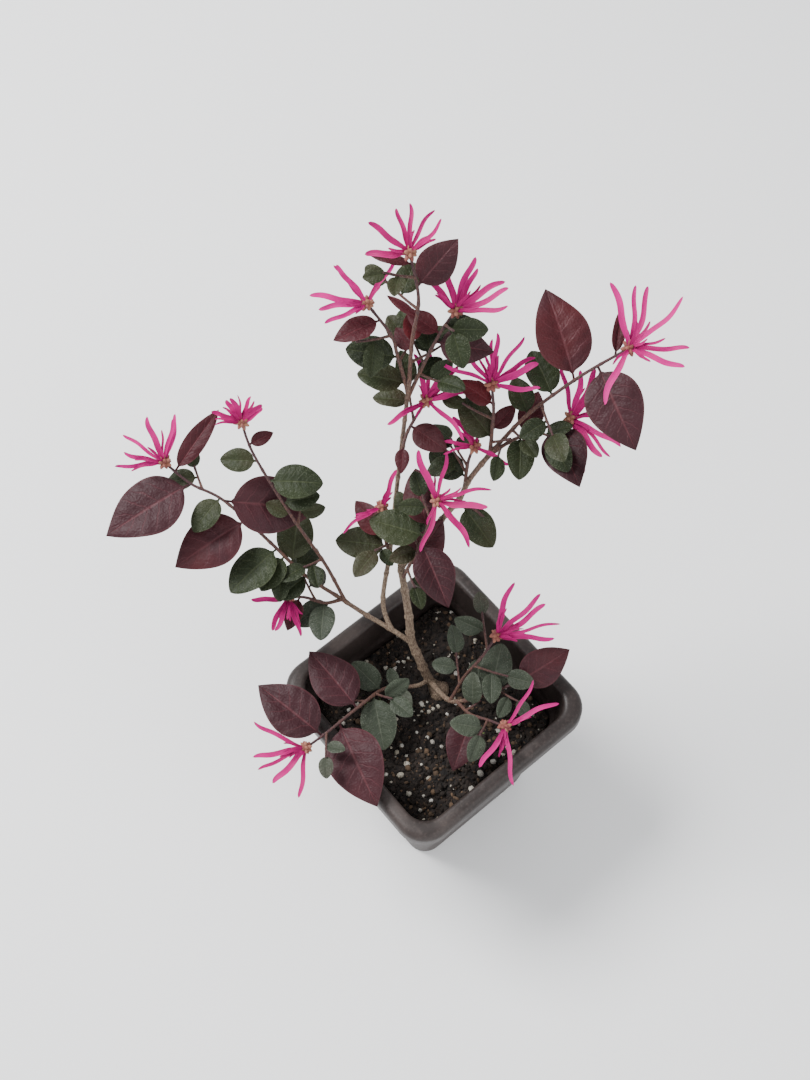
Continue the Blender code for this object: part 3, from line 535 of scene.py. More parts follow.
# %% Sprays of the plan
# Each spray: its stem as for a bough, its leaves as (place along the stem, heading, length, kind), its
# blossom as (petal length, angles in the fan) and how many side twigs the rule adds
SPRAYS = {
    "spray_low_left": dict(
        stem=("bough_low_left", 1.0, ((-20, 4, 80), (-30, -7, 88), (-41, -19, 94), (-49, -26, 96))),
        leaves=(
            (0.02, -80, 12, "green"), (0.06, 110, 8, "green"), (0.19, 140, 16, "green"),
            (0.28, -78, 22, "green"), (0.48, 130, 30, "plum"), (0.68, -66, 36, "plum"),
            (0.85, 143, 32, "plum"),
        ),
        blossom=(21, (-164, -178, -97, 160, -135)),
        twigs=3,
    ),
    "spray_low_right": dict(
        stem=("bough_low_right", 1.0, ((17, -1, 83), (23, 0, 87), (33, 2, 93))),
        leaves=(
            (0.04, 95, 11, "green"), (0.24, 94, 16, "green"), (0.30, -128, 16, "green"),
            (0.50, 77, 20, "green"), (1.0, 28, 25, "plum"),
        ),
        blossom=None,
        twigs=2,
    ),
    "spray_low_front": dict(
        stem=("bough_low_right", 0.86, ((14, -8, 84), (21, -12, 88), (27, -16, 92))),
        leaves=((0.42, -110, 23, "plum"), (0.36, 30, 16, "wine")),
        blossom=(23, (-119, -85, 31, 50)),
        twigs=2,
    ),
    "spray_low_back": dict(
        stem=("bough_low_right", 0.70, ((12, 6, 88), (19, 11, 98), (24, 16, 106))),
        leaves=(),
        blossom=(24, (84, 46, 27, 12, -4)),
        twigs=3,
    ),
    "spray_left_tip": dict(
        stem=(
            "bough_left", 1.0,
            ((-50, 34, 123), (-62, 41, 136), (-78, 50, 152), (-90, 54, 158), (-99, 59, 165)),
        ),
        leaves=(
            (0.05, 22, 18, "green"), (0.11, 32, 17, "green"), (0.19, -140, 14, "green"),
            (0.24, 46, 13, "green"), (0.28, 84, 22, "green"), (0.33, -125, 16, "green"),
            (0.38, -136, 24, "green"), (0.57, -148, 32, "plum"), (0.70, 10, 36, "plum"),
            (0.72, -130, 16, "green"), (0.86, -148, 36, "plum"), (0.94, 52, 28, "slim"),
        ),
        blossom=(17, (174, -176, 148, 112, 78, 64)),
        twigs=3,
    ),
    "spray_left_low": dict(
        stem=("bough_left", 0.93, ((-42, 27, 112), (-50, 28, 115), (-56, 27, 117))),
        leaves=((0.25, -150, 16, "green"), (0.36, -100, 16, "green"), (0.80, -108, 14, "wine")),
        blossom=(16, (-169, -122, -104, -70)),
        twigs=2,
    ),
    "spray_left_high": dict(
        stem=("bough_left", 0.88, ((-42, 38, 124), (-53, 46, 146), (-66, 60, 168), (-70, 68, 178))),
        leaves=(
            (0.54, 160, 10, "green"), (0.60, 8, 14, "green"), (0.72, -4, 20, "green"),
            (0.82, 176, 14, "green"), (0.90, 28, 10, "wine"),
        ),
        blossom=(11, (156, 128, 102, 76, 50, 24)),
        twigs=4,
    ),
    "spray_back_low": dict(
        stem=("bough_back", 0.30, ((-20, 45, 142), (-20, 47, 153))),
        leaves=((0.15, 172, 20, "green"), (0.35, 130, 18, "wine"), (0.45, 70, 13, "green")),
        blossom=(19, (-156, 62)),
        twigs=2,
    ),
    "spray_back_middle": dict(
        stem=("bough_back", 0.64, ((-11, 60, 182), (-8, 62, 190), (-4, 65, 197))),
        leaves=(
            (0.12, 158, 16, "green"), (0.18, -172, 17, "green"), (0.32, -95, 10, "wine"),
            (0.06, -38, 10, "green"), (0.66, -36, 16, "plum"), (0.62, 128, 16, "plum"),
        ),
        blossom=(18, (-150, 96, 80, 64, 44, 12, -36)),
        twigs=3,
    ),
    "spray_top_left": dict(
        stem=("bough_back", 0.96, ((-14, 70, 218), (-16, 73, 225), (-24, 78, 236))),
        leaves=((0.10, 172, 17, "green"), (0.40, 176, 18, "green"), (0.80, -157, 17, "wine")),
        blossom=(18, (124, 134, 175, -172, -150, 60)),
        twigs=3,
    ),
    "spray_top": dict(
        stem=("bough_back", 1.0, ((-9, 71, 225), (-7, 76, 241), (-10, 80, 260))),
        leaves=(
            (0.25, 125, 11, "wine"), (0.31, 88, 13, "wine"), (0.52, 150, 12, "slim"),
            (0.74, 40, 20, "plum"), (0.91, 167, 14, "slim"),
        ),
        blossom=(16, (106, 86, 68, 30, 146, -172)),
        twigs=3,
    ),
    "spray_top_right": dict(
        stem=("bough_back", 0.93, ((-5, 69, 214), (0, 72, 227), (5, 75, 236))),
        leaves=(
            (0.24, 32, 11, "green"), (0.55, 100, 11, "green"), (0.66, -14, 20, "plum"),
            (0.75, 144, 14, "wine"), (0.82, 6, 11, "green"),
        ),
        blossom=(18, (129, 98, 76, 60, 33, 10, -9)),
        twigs=3,
    ),
    "spray_centre": dict(
        stem=("trunk", 0.93, ((-9, 33, 136), (-4, 36, 153), (0, 42, 167))),
        leaves=(
            (0.20, 48, 24, "plum"), (0.55, -66, 26, "plum"), (0.45, -160, 11, "green"),
            (0.64, 165, 21, "green"), (0.72, 102, 24, "wine"),
        ),
        blossom=(20, (80, 114, 21, -16, -45, -100)),
        twigs=3,
    ),
    "spray_right_inner": dict(
        stem=("bough_right", 0.66, ((11, 53, 175), (13, 55, 183))),
        leaves=((0.30, 150, 16, "green"), (0.36, 118, 11, "green")),
        blossom=(13, (170, 118, 70, -26)),
        twigs=2,
    ),
    "spray_right_under": dict(
        stem=("bough_right", 0.50, ((13, 46, 154), (18, 42, 153))),
        leaves=((0.30, -56, 19, "green"), (0.6, 10, 12, "green")),
        blossom=None,
        twigs=2,
    ),
    "spray_right_low": dict(
        stem=("bough_right", 0.93, ((25, 55, 186), (34, 57, 190), (46, 59, 195))),
        leaves=(
            (0.10, -54, 25, "green"), (0.46, -92, 16, "green"), (0.50, 70, 17, "wine"),
            (0.82, -74, 26, "plum"),
        ),
        blossom=(20, (100, 76, 57, 22, -26, -36, -53, -73)),
        twigs=3,
    ),
    "spray_right_tip": dict(
        stem=("bough_right", 1.0, ((28, 58, 194), (35, 60, 203), (48, 61, 220), (61, 61, 235))),
        leaves=(
            (0.30, 110, 14, "green"), (0.48, 112, 18, "green"), (0.64, 107, 33, "plum"),
            (0.80, -68, 31, "plum"), (0.91, 80, 17, "slim"),
        ),
        blossom=(22, (80, 64, 106, 36, 0, -22, -125)),
        twigs=3,
    ),
    "spray_right_back": dict(
        stem=("bough_right", 0.96, ((19, 58, 191), (19, 60, 200), (18, 64, 209))),
        leaves=((0.24, 150, 18, "green"), (0.36, 34, 12, "wine"), (0.74, 148, 15, "wine")),
        blossom=(18, (132, 154, 92, 80, 58, 40, 24, -14)),
        twigs=3,
    ),
}
SPRAY_THICK = (1.5, 0.95)
GREY_SPRAYS = {"spray_low_left", "spray_low_right", "spray_low_front", "spray_low_back", "spray_left_low"}

# Side twigs, each with a small leaf at its tip and one below it
TWIG_THICK = (0.95, 0.8)
TWIG_LENGTH = (7, 15)
TWIG_ZONE = (0.12, 0.86)
TWIG_SWING = (45, 85)
TWIG_RETRIES = (1, -1, 1.5, -1.5)
TWIG_RISE = (-5, 45)
TWIG_LEAF = (8, 14)
TWIG_LEAVES = ((0.5, 70), (1.0, 0))
TWIG_UPTURN = 0.2
print("sprays:", len(SPRAYS), "with leaves:", sum(len(spray["leaves"]) for spray in SPRAYS.values()))

# %% [markdown]
# ## Growing
# A plant finds its shape by filling free space. Before a leaf is kept, a plain folded outline of it is
# tested against everything that already stands. If it touches, the leaf tilts a little and tries again, and
# after seven tries it isn't grown. A fine shape is made later for each one that found room.

# %% Paths
LIMB_SIDES = 8
TWIG_SIDES = 5
SIDE_TWIG_SIDES = 3
RING_STEP = 6.5


def smooth_path(guide, per_span=8):
    """Points on a smooth curve through the guide points, by the Catmull-Rom rule."""
    found = []
    for i in range(len(guide) - 1):
        a, b, c, d = (guide[max(0, min(len(guide) - 1, k))] for k in (i - 1, i, i + 1, i + 2))
        for step in range(per_span):
            t = step / per_span
            bend = (2 * a - 5 * b + 4 * c - d) * t * t + (3 * b - a - 3 * c + d) * t**3
            found.append(0.5 * (2 * b + (c - a) * t + bend))
    found.append(guide[-1].copy())
    return found


def lengths_along(path):
    """The distance of each point of a path from its start."""
    total = [0.0]
    for a, b in zip(path, path[1:]):
        total.append(total[-1] + (b - a).length)
    return total


def at_distance(path, distance):
    """The point and the direction of a path at a distance from its start."""
    total = lengths_along(path)
    distance = max(0.0, min(distance, total[-1]))
    for i in range(1, len(path)):
        if distance <= total[i] or i == len(path) - 1:
            step = path[i] - path[i - 1]
            return path[i - 1] + step * ((distance - total[i - 1]) / step.length), step.normalized()


def loft(rings):
    """Closed shape through rings of equally many points, with a flat cap at each end."""
    count = len(rings[0])
    points = [p for ring in rings for p in ring]
    faces = [tuple(reversed(range(count)))]
    for low in range(0, len(points) - count, count):
        for i in range(count):
            j = (i + 1) % count
            faces.append((low + i, low + j, low + count + j, low + count + i))
    faces.append(tuple(range(len(points) - count, len(points))))
    return points, faces


def heading_of(direction):
    """The heading of a direction of the frame, in the plant's own degrees."""
    return math.degrees(math.atan2(direction.y, direction.x) - PLANT_TURN)


def tube(path, radii, sides, start=0.0):
    """The room that a stem takes: a plain tapering prism round its path."""
    whole = lengths_along(path)[-1]
    count = max(2, round((whole - start) / RING_STEP) + 1)
    side = at_distance(path, start)[1].orthogonal()
    rings = []
    for i in range(count):
        share = i / (count - 1)
        middle, ahead = at_distance(path, start + (whole - start) * share)
        side = (side - ahead * side.dot(ahead)).normalized()
        other = ahead.cross(side)
        radius = radii[0] + (radii[1] - radii[0]) * share
        turns = [2 * math.pi * k / sides for k in range(sides)]
        rings.append([middle + (side * math.cos(t) + other * math.sin(t)) * radius for t in turns])
    return loft(rings)


TRUNK_SPOTS = [Vector(spot) for spot in (TRUNK_FOOT, *TRUNK_GUIDE)]
print("trunk length:", round(lengths_along(smooth_path(TRUNK_SPOTS))[-1]), "mm")

# %% Room for a leaf or a petal
def leaf_frame(heading, rise, roll):
    """A leaf's way ahead, its face towards the light and its side."""
    angle = math.radians(heading)
    tilt = math.radians(rise)
    ahead = laid(math.cos(angle), math.sin(angle), 0) * math.cos(tilt) + Vector((0, 0, math.sin(tilt)))
    light = laid(*LIGHT)
    face = (light - ahead * light.dot(ahead)).normalized()
    face = Matrix.Rotation(math.radians(roll), 3, ahead) @ face
    return ahead, face, ahead.cross(face)


def leaf_room(base, heading, rise, length, kind, roll, droop, margin=GAP):
    """The room that a leaf takes: a folded blade with a few straight sides."""
    wide, fold, outline = LEAF_KINDS[kind]
    ahead, face, side = leaf_frame(heading, rise, roll)
    thick = LEAF_THICK / 2 + margin
    slope = math.radians(fold)
    blade = [(place, max(PETIOLE_HALF, half * wide * length / 2)) for place, half in outline]
    stations = [(0.0, PETIOLE_HALF), *blade, (1.0, LEAF_POINT)]
    middle = base.copy()
    rings = []
    before = 0.0
    for place, half in stations:
        bend = math.radians(-droop * (place - DROOP_ABOUT))
        step = ahead * math.cos(bend) + face * math.sin(bend)
        middle = middle + step * (place - before) * length
        before = place
        lift = face * math.sin(slope) * (half + margin)
        out = side * math.cos(slope) * (half + margin)
        up = side.cross(step).normalized() * thick
        top = [middle + out + lift + up, middle + up, middle - out + lift + up]
        rings.append(top + [point - 2 * up for point in reversed(top)])
    return loft([list(reversed(ring)) for ring in rings])


def petal_frame(angle):
    """A petal's way ahead in the fan, the fan's outward direction and the petal's side."""
    turn = math.radians(angle)
    ahead = laid(*(Vector((1, 0, 0)) * math.cos(turn) + FAN_UP * math.sin(turn)))
    out = laid(*FAN_OUT)
    return ahead, out, ahead.cross(out).normalized()


def petal_room(base, angle, lift, length, curl, margin=GAP):
    """The room that a strap petal takes as it curls towards its tip."""
    ahead, out, side = petal_frame(angle)
    middle = base.copy()
    rings = []
    before = 0.0
    for place, wide in PETAL_SPANS:
        bend = math.radians(lift + curl * place)
        step = ahead * math.cos(bend) + out * math.sin(bend)
        middle = middle + step * (place - before) * length
        before = place
        up = step.cross(side).normalized() * (PETAL_THICK / 2 + margin)
        half = side * (PETAL_WIDE / 2 * wide + margin)
        rings.append([middle + half + up, middle - half + up, middle - half - up, middle + half - up])
    return loft(rings)


def knot_room(middle):
    """The room that the calyxes take in the middle of a blossom."""
    bm = bmesh.new()
    bmesh.ops.create_icosphere(bm, subdivisions=1, radius=KNOT_RADIUS)
    points = [middle + v.co for v in bm.verts]
    faces = [tuple(v.index for v in f.verts) for f in bm.faces]
    bm.free()
    return points, faces


print("a round leaf's corners:", len(leaf_room(Vector(), 0, 0, 16, "green", 0, 10)[0]))

# %% The garden
def box_of(points):
    """The lowest and the highest corner round some points."""
    return [min(p[i] for p in points) for i in range(3)], [max(p[i] for p in points) for i in range(3)]


class Garden:
    """What stands already, and the plan of each piece that found room."""

    def __init__(self):
        self.trees = []
        self.paths = {}
        self.stems = []
        self.leaves = []
        self.petals = []
        self.knots = []

    def add(self, owner, kind, shape):
        """Note the room that a piece takes. kind is limb, twig, leaf, petal or blossom."""
        self.trees.append((owner, kind, BVHTree.FromPolygons(*shape), box_of(shape[0])))

    def touches(self, owner, shape, own_kinds=()):
        """Whether a shape crosses another spray or limb, or a piece of these kinds of its own spray."""
        low, high = box_of(shape[0])
        tree = None
        for other, kind, standing, (floor, roof) in self.trees:
            if other == owner and kind not in own_kinds:
                continue
            if any(low[i] > roof[i] or high[i] < floor[i] for i in range(3)):
                continue
            tree = tree or BVHTree.FromPolygons(*shape)
            if tree.overlap(standing):
                return True
        return False


print("kinds of room: limb, twig, leaf, petal, blossom")

# %% The rules of growth
CUT_STEP = 0.1


def grow_stem(garden, owner, kind, stem, thick, sides):
    """A stem on its carrier. Its room starts where it comes clear of the carrier's bark."""
    carrier, start, guide = stem
    line = garden.paths[carrier]
    first = at_distance(line, lengths_along(line)[-1] * start)[0]
    path = smooth_path([first] + [laid(*spot) for spot in guide])
    radii = (thick[0] / 2, thick[1] / 2)
    wide = (radii[0] + GAP, radii[1] + GAP)
    cut = GAP
    while garden.touches(owner, tube(path, wide, sides, cut - GAP), ("limb",)):
        cut += CUT_STEP
    garden.add(owner, kind, tube(path, radii, sides, cut))
    garden.paths[owner] = path
    garden.stems.append((owner, kind, path, radii))


def grow_blossom(garden, owner, blossom, chance):
    """A knot of calyxes at the tip of a spray and the petals that find room."""
    size, angles = blossom
    tip = garden.paths[owner][-1]
    garden.add(owner, "blossom", knot_room(tip))
    garden.knots.append((owner, tip, angles))
    for angle in angles:
        length = size * chance.uniform(*PETAL_SHARE)
        for lift in (chance.uniform(*PETAL_LIFT), *PETAL_RETRIES):
            curl = chance.uniform(*PETAL_CURL)
            if not garden.touches(owner, petal_room(tip, angle, lift, length, curl), ("leaf",)):
                garden.add(owner, "petal", petal_room(tip, angle, lift, length, curl, 0))
                garden.petals.append((owner, tip, angle, lift, length, curl))
                break


def grow_leaf(garden, owner, path, row, stray, chance):
    """A leaf at its place on a stem, tilted a little more each time that it finds no room."""
    along, heading, length, kind = row
    whole = lengths_along(path)[-1]
    base = at_distance(path, min(whole * along, whole - ROOT_SUNK))[0]
    stray_rise, stray_roll = stray
    rise = RISE_LEVEL + RISE_FACING * math.sin(math.radians(heading))
    rise += chance.uniform(-stray_rise, stray_rise)
    roll = chance.uniform(-stray_roll, stray_roll)
    droop = chance.uniform(*LEAF_DROOP)
    for tilt, swing in LEAF_RETRIES:
        pose = (base, heading + swing, rise + tilt, length, kind, roll, droop)
        if not garden.touches(owner, leaf_room(*pose), ("leaf", "petal", "blossom")):
            garden.add(owner, "leaf", leaf_room(*pose, 0))
            garden.leaves.append((owner, *pose))
            return


def grow_twigs(garden, owner, count, chance):
    """Side twigs, alternate along the stem of a spray, each with its small leaves."""
    path = garden.paths[owner]
    whole = lengths_along(path)[-1]
    radii = (TWIG_THICK[0] / 2, TWIG_THICK[1] / 2)
    wide = (radii[0] + GAP, radii[1] + GAP)
    for i in range(count):
        along = TWIG_ZONE[0] + (TWIG_ZONE[1] - TWIG_ZONE[0]) * (i + chance.random()) / count
        root, ahead = at_distance(path, whole * along)
        hand = (1, -1)[i % 2]
        swing = hand * chance.uniform(*TWIG_SWING)
        rise = math.radians(chance.uniform(*TWIG_RISE))
        length = chance.uniform(*TWIG_LENGTH)
        for share in TWIG_RETRIES:
            heading = heading_of(ahead) + swing * share
            angle = math.radians(heading)
            level = math.cos(rise)
            out = laid(math.cos(angle) * level, math.sin(angle) * level, math.sin(rise))
            elbow = root + out * length / 2
            tip = elbow + (out + Vector((0, 0, TWIG_UPTURN))) * length / 2
            line = smooth_path([root, elbow, tip], 2)
            room = tube(line, wide, SIDE_TWIG_SIDES)
            if not garden.touches(owner, room, ("leaf", "petal", "blossom")):
                garden.add(owner, "twig", tube(line, radii, SIDE_TWIG_SIDES))
                garden.stems.append((owner, "side twig", line, radii))
                for place, spread in TWIG_LEAVES:
                    row = (place, heading + spread * hand, chance.uniform(*TWIG_LEAF), "small")
                    grow_leaf(garden, owner, line, row, STRAY_SMALL, chance)
                break


def node_shape(name):
    """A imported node's corners in millimetres, and its faces."""
    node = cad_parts[name]
    points = [node.matrix_world @ v.co / MM for v in node.data.vertices]
    return points, [tuple(f.vertices) for f in node.data.polygons]


def grow_garden():
    """The whole plant: limbs first, then what finds room among them, largest leaves first."""
    chance = random.Random(SEED)
    garden = Garden()
    for name in ("pot", "soil", "trunk"):
        garden.add(name, "limb", node_shape(name))
    trunk = smooth_path([laid(*spot) for spot in (TRUNK_FOOT, *TRUNK_GUIDE)])
    garden.paths["trunk"] = trunk
    garden.stems.append(("trunk", "limb", trunk, (TRUNK_THICK[0] / 2, TRUNK_THICK[1] / 2)))
    for name, bough in BOUGHS.items():
        grow_stem(garden, name, "limb", bough["stem"], bough["thick"], LIMB_SIDES)
    for name, spray in SPRAYS.items():
        grow_stem(garden, name, "twig", spray["stem"], SPRAY_THICK, TWIG_SIDES)
    for name, spray in SPRAYS.items():
        if spray["blossom"]:
            grow_blossom(garden, name, spray["blossom"], chance)
    for name, spray in SPRAYS.items():
        for row in sorted(spray["leaves"], key=lambda row: -row[2]):
            grow_leaf(garden, name, garden.paths[name], row, STRAY_LISTED, chance)
    for name, spray in SPRAYS.items():
        grow_twigs(garden, name, spray["twigs"], chance)
    return garden


GARDEN = grow_garden()
print("stems:", len(GARDEN.stems), "leaves:", len(GARDEN.leaves), "petals:", len(GARDEN.petals))

# %% [markdown]
# ## From plan to mesh
# A plan is a mesh of loose points, one for each leaf or petal, and each point carries its own sizes as
# attributes. A Geometry Nodes tree puts a small grid on every point, makes the copies real, and then moves
# each corner to its place by a formula. One tree so shapes every leaf, and a size is changed in one spot.

# %% Plans and pieces
# What the finishes read, and so what a grown mesh keeps
KEPT_ATTRIBUTES = ("across", "along", "shade", "age")


def plan_mesh(name, rows, edges=()):
    """Points with a Vector or a number for each name in a row. root is the place, in metres."""
    mesh = bpy.data.meshes.new(name + "_plan")
    mesh.from_pydata([row["root"] for row in rows], edges, [])
    for label, value in rows[0].items():
        kind, held = ("FLOAT_VECTOR", "vector") if isinstance(value, Vector) else ("FLOAT", "value")
        for item, row in zip(mesh.attributes.new(label, kind, "POINT").data, rows):
            setattr(item, held, row[label])
    return mesh


def shown(name, mesh):
    """A piece at the origin that shows a mesh."""
    mesh.name = name
    piece = bpy.data.objects.new(name, mesh)
    bpy.context.scene.collection.objects.link(piece)
    return piece


def applied(holder):
    """The mesh of an object with its modifiers applied. The object itself is removed."""
    graph = bpy.context.evaluated_depsgraph_get()
    whole = holder.evaluated_get(graph)
    mesh = bpy.data.meshes.new_from_object(whole, preserve_all_data_layers=True, depsgraph=graph)
    bpy.data.objects.remove(holder)
    return mesh


def grown(name, mesh, tree, values):
    """Run a tree on a plan and keep the result as a plain piece."""
    holder = shown(name + "_plan", mesh)
    growing = holder.modifiers.new("grow", "NODES")
    growing.node_group = tree
    for item in tree.interface.items_tree:
        if item.in_out == "INPUT" and item.name in values:
            growing[item.identifier] = values[item.name]
    made = applied(holder)
    own = [a.name for a in made.attributes if a.domain == "POINT" and not (a.is_internal or a.is_required)]
    for label in own:
        if label not in KEPT_ATTRIBUTES:
            made.attributes.remove(made.attributes[label])
    print(name, "faces:", len(made.polygons))
    return shown(name, made)


print("attributes kept:", KEPT_ATTRIBUTES)

# %% Parts of a tree
def new_tree(name, inputs):
    """A Geometry Nodes tree with named inputs. Returns it, its nodes and a way to read an input."""
    tree = bpy.data.node_groups.new(name, "GeometryNodeTree")
    tree.interface.new_socket("Geometry", in_out="INPUT", socket_type="NodeSocketGeometry")
    for label, kind, value in inputs:
        socket = tree.interface.new_socket(label, in_out="INPUT", socket_type="NodeSocket" + kind)
        if value is not None:
            socket.default_value = value
    tree.interface.new_socket("Geometry", in_out="OUTPUT", socket_type="NodeSocketGeometry")
    nodes = Nodes(tree)
    source = tree.nodes.new("NodeGroupInput")
    return tree, nodes, lambda label: Wire(nodes, source.outputs[label])


def read(nodes, label, kind="FLOAT"):
    """A named attribute."""
    return nodes.add("GeometryNodeInputNamedAttribute", {"data_type": kind}, {"Name": label})


def store(nodes, shape, label, value, domain="POINT"):
    """Write a value to a named attribute."""
    sockets = {"Geometry": shape, "Name": label, "Value": value}
    return nodes.add("GeometryNodeStoreNamedAttribute", {"data_type": "FLOAT", "domain": domain}, sockets)


def scaled(nodes, direction, much):
    """A direction times a number."""
    return nodes.add("ShaderNodeVectorMath", {"operation": "SCALE"}, {0: direction, "Scale": much})


def grid_on_points(nodes, given):
    """A grid on every point. Each corner knows its place across, from -1 to 1, and along, from 0 to 1."""
    sizes = {"Size X": 2.0, "Size Y": 1.0, "Vertices X": given("Columns"), "Vertices Y": given("Rows")}
    grid = nodes.add("GeometryNodeMeshGrid", {}, sizes)
    place = nodes.add("GeometryNodeInputPosition")
    across = nodes.add("ShaderNodeSeparateXYZ", {}, {"Vector": place}, "X")
    along = nodes.add("ShaderNodeSeparateXYZ", {}, {"Vector": place}, "Y") + 0.5
    grid = store(nodes, store(nodes, grid, "across", across), "along", along)
    copies = nodes.add("GeometryNodeInstanceOnPoints", {}, {"Points": given("Geometry"), "Instance": grid})
    return nodes.add("GeometryNodeRealizeInstances", {}, {"Geometry": copies})


def moved(nodes, shape, **steps):
    """Move each corner to its point's root and on by so much along the point's own directions."""
    place = read(nodes, "root", "FLOAT_VECTOR")
    for label, much in steps.items():
        step = scaled(nodes, read(nodes, label, "FLOAT_VECTOR"), much)
        place = nodes.add("ShaderNodeVectorMath", {"operation": "ADD"}, {0: place, 1: step})
    return nodes.add("GeometryNodeSetPosition", {}, {"Geometry": shape, "Position": place})


def end_tree(nodes, shape, material):
    """Shade smooth, give the finish and end the tree."""
    shape = nodes.add("GeometryNodeSetShadeSmooth", {}, {"Geometry": shape})
    shape = nodes.add("GeometryNodeSetMaterial", {}, {"Geometry": shape, "Material": material})
    sink = nodes.tree.nodes.new("NodeGroupOutput")
    nodes.tree.links.new(shape.socket, sink.inputs["Geometry"])


print("a point's directions: ahead, face, side")

# %% [markdown]
# ## Leaves
# A fringe flower's leaf is an oval with a short point, folded a little at the midrib, and its side veins are
# pressed in so that the blade swells between them. A leaf could be sculpted once and copied, but then all
# would be alike. The grid's across and along values run through a formula for the outline, the droop, the
# fold and the swelling instead, which gives every leaf the same build at any size.

# %% Leaf tree
EDGE_WAVES = 13
LEAF_PHASES = 40


def leaf_tree():
    """Blades grown from points that carry their directions, a size, a half width, a fold and a droop."""
    inputs = (
        ("Rows", "Int", 43), ("Columns", "Int", 9), ("Petiole", "Float", PETIOLE),
        ("Petiole Half", "Float", PETIOLE_HALF * MM), ("Petiole Taper", "Float", 0.92),
        ("Vein Pairs", "Float", VEIN_PAIRS), ("Vein Slant", "Float", VEIN_SLANT),
        ("Swelling", "Float", 0.1008), ("Arch", "Float", 0.14), ("Wave", "Float", 0.012),
        ("Base Round", "Float", 0.62), ("Tip Sharp", "Float", 1.0), ("Gain", "Float", 1.0),
        ("Leaf", "Material", None),
    )
    tree, nodes, given = new_tree("leaf blades", inputs)
    shape = grid_on_points(nodes, given)
    across, along, shade = (read(nodes, label) for label in ("across", "along", "shade"))
    size, half, fold, droop = (read(nodes, label) for label in ("size", "half", "fold", "droop"))
    off = across.size()
    petiole = given("Petiole")
    blade = ((along - petiole) / (1 - petiole)).at_least(0.0).at_most(1.0)
    wide = half * given("Gain") * blade ** given("Base Round") * (1 - blade) ** given("Tip Sharp")
    wide = wide.at_least(given("Petiole Half") * (1 - along * given("Petiole Taper")))
    level = droop * DROOP_ABOUT
    bend = droop * along - level
    ahead = size * (bend.sin() + level.sin()) / droop
    sag = size * (bend.cos() - level.cos()) / droop
    between = ((blade - off * given("Vein Slant")) * given("Vein Pairs") * math.pi).sin().size()
    swell = between * off * (1 - off) * 4 * given("Swelling") * wide
    wave = (along * EDGE_WAVES + shade * LEAF_PHASES).sin() * off * off * size * given("Wave")
    lift = wide * (fold.sin() * off - off * off * given("Arch")) + swell + wave
    shape = moved(nodes, shape, ahead=ahead, face=sag + lift, side=wide * fold.cos() * across)
    end_tree(nodes, shape, given("Leaf"))
    return tree


LEAF_TREE = leaf_tree()
print("leaf tree nodes:", len(LEAF_TREE.nodes))

# %% Leaf pieces
FOLD_STRAY = 5

# Each leaf piece: its finish, the kinds of the plan that it takes, whether it takes them on the low sprays,
# on the others or on all, how round its base is and how sharp its tip
LEAF_PIECES = {
    "plum_leaves": ("plum leaf", {"plum"}, "all", 0.62, 1.0),
    "wine_leaves": ("wine leaf", {"wine", "slim"}, "all", 0.60, 0.90),
    "green_leaves": ("green leaf", {"green", "small"}, "others", 0.52, 0.70),
    "grey_leaves": ("grey-green leaf", {"green", "small"}, "low", 0.50, 0.66),
}


def outline_gain(base_round, tip_sharp):
    """What makes the widest part of the outline formula equal to one."""
    both = base_round + tip_sharp
    return both**both / (base_round**base_round * tip_sharp**tip_sharp)


def leaves_of(kinds, sprays):
    """The planned leaves of these kinds, on all sprays, on the low ones or on the others."""
    found = []
    for plan in GARDEN.leaves:
        owner, base, heading, rise, length, kind, roll, droop = plan
        if kind in kinds and sprays in ("all", "low" if owner in GREY_SPRAYS else "others"):
            found.append(plan)
    return found


def leaf_row(plan, chance):
    """A leaf's point: its place, directions and sizes in metres and radians."""
    owner, base, heading, rise, length, kind, roll, droop = plan
    wide, fold, outline = LEAF_KINDS[kind]
    ahead, face, side = leaf_frame(heading, rise, roll)
    return {
        "root": base * MM, "ahead": ahead, "face": face, "side": side,
        "size": length * MM, "half": wide * length * MM / 2,
        "fold": math.radians(fold + chance.uniform(-FOLD_STRAY, FOLD_STRAY)),
        "droop": math.radians(droop), "shade": chance.random(),
    }


def make_leaves():
    """One piece for each leaf finish."""
    chance = random.Random(SEED + 1)
    made = {}
    for name, (finish_name, kinds, sprays, base_round, tip_sharp) in LEAF_PIECES.items():
        values = {
            "Base Round": base_round, "Tip Sharp": tip_sharp, "Gain": outline_gain(base_round, tip_sharp),
            "Leaf": LEAF_FINISHES[finish_name],
        }
        rows = [leaf_row(plan, chance) for plan in leaves_of(kinds, sprays)]
        made[name] = grown(name, plan_mesh(name, rows), LEAF_TREE, values)
    return made


LEAVES = make_leaves()

# %% [markdown]
# ## Blossom
# Each floret has four narrow straps, and a head holds several florets, so a blossom looks like a shredded
# ribbon. A strap is the same kind of grid as a leaf, narrow at its root, gently guttered, twisted and
# wavering. Short thin straps, still curled from the bud, fill the middle, and a cluster of small scales
# holds them.

# %% Petal tree
PETAL_PHASES = 60


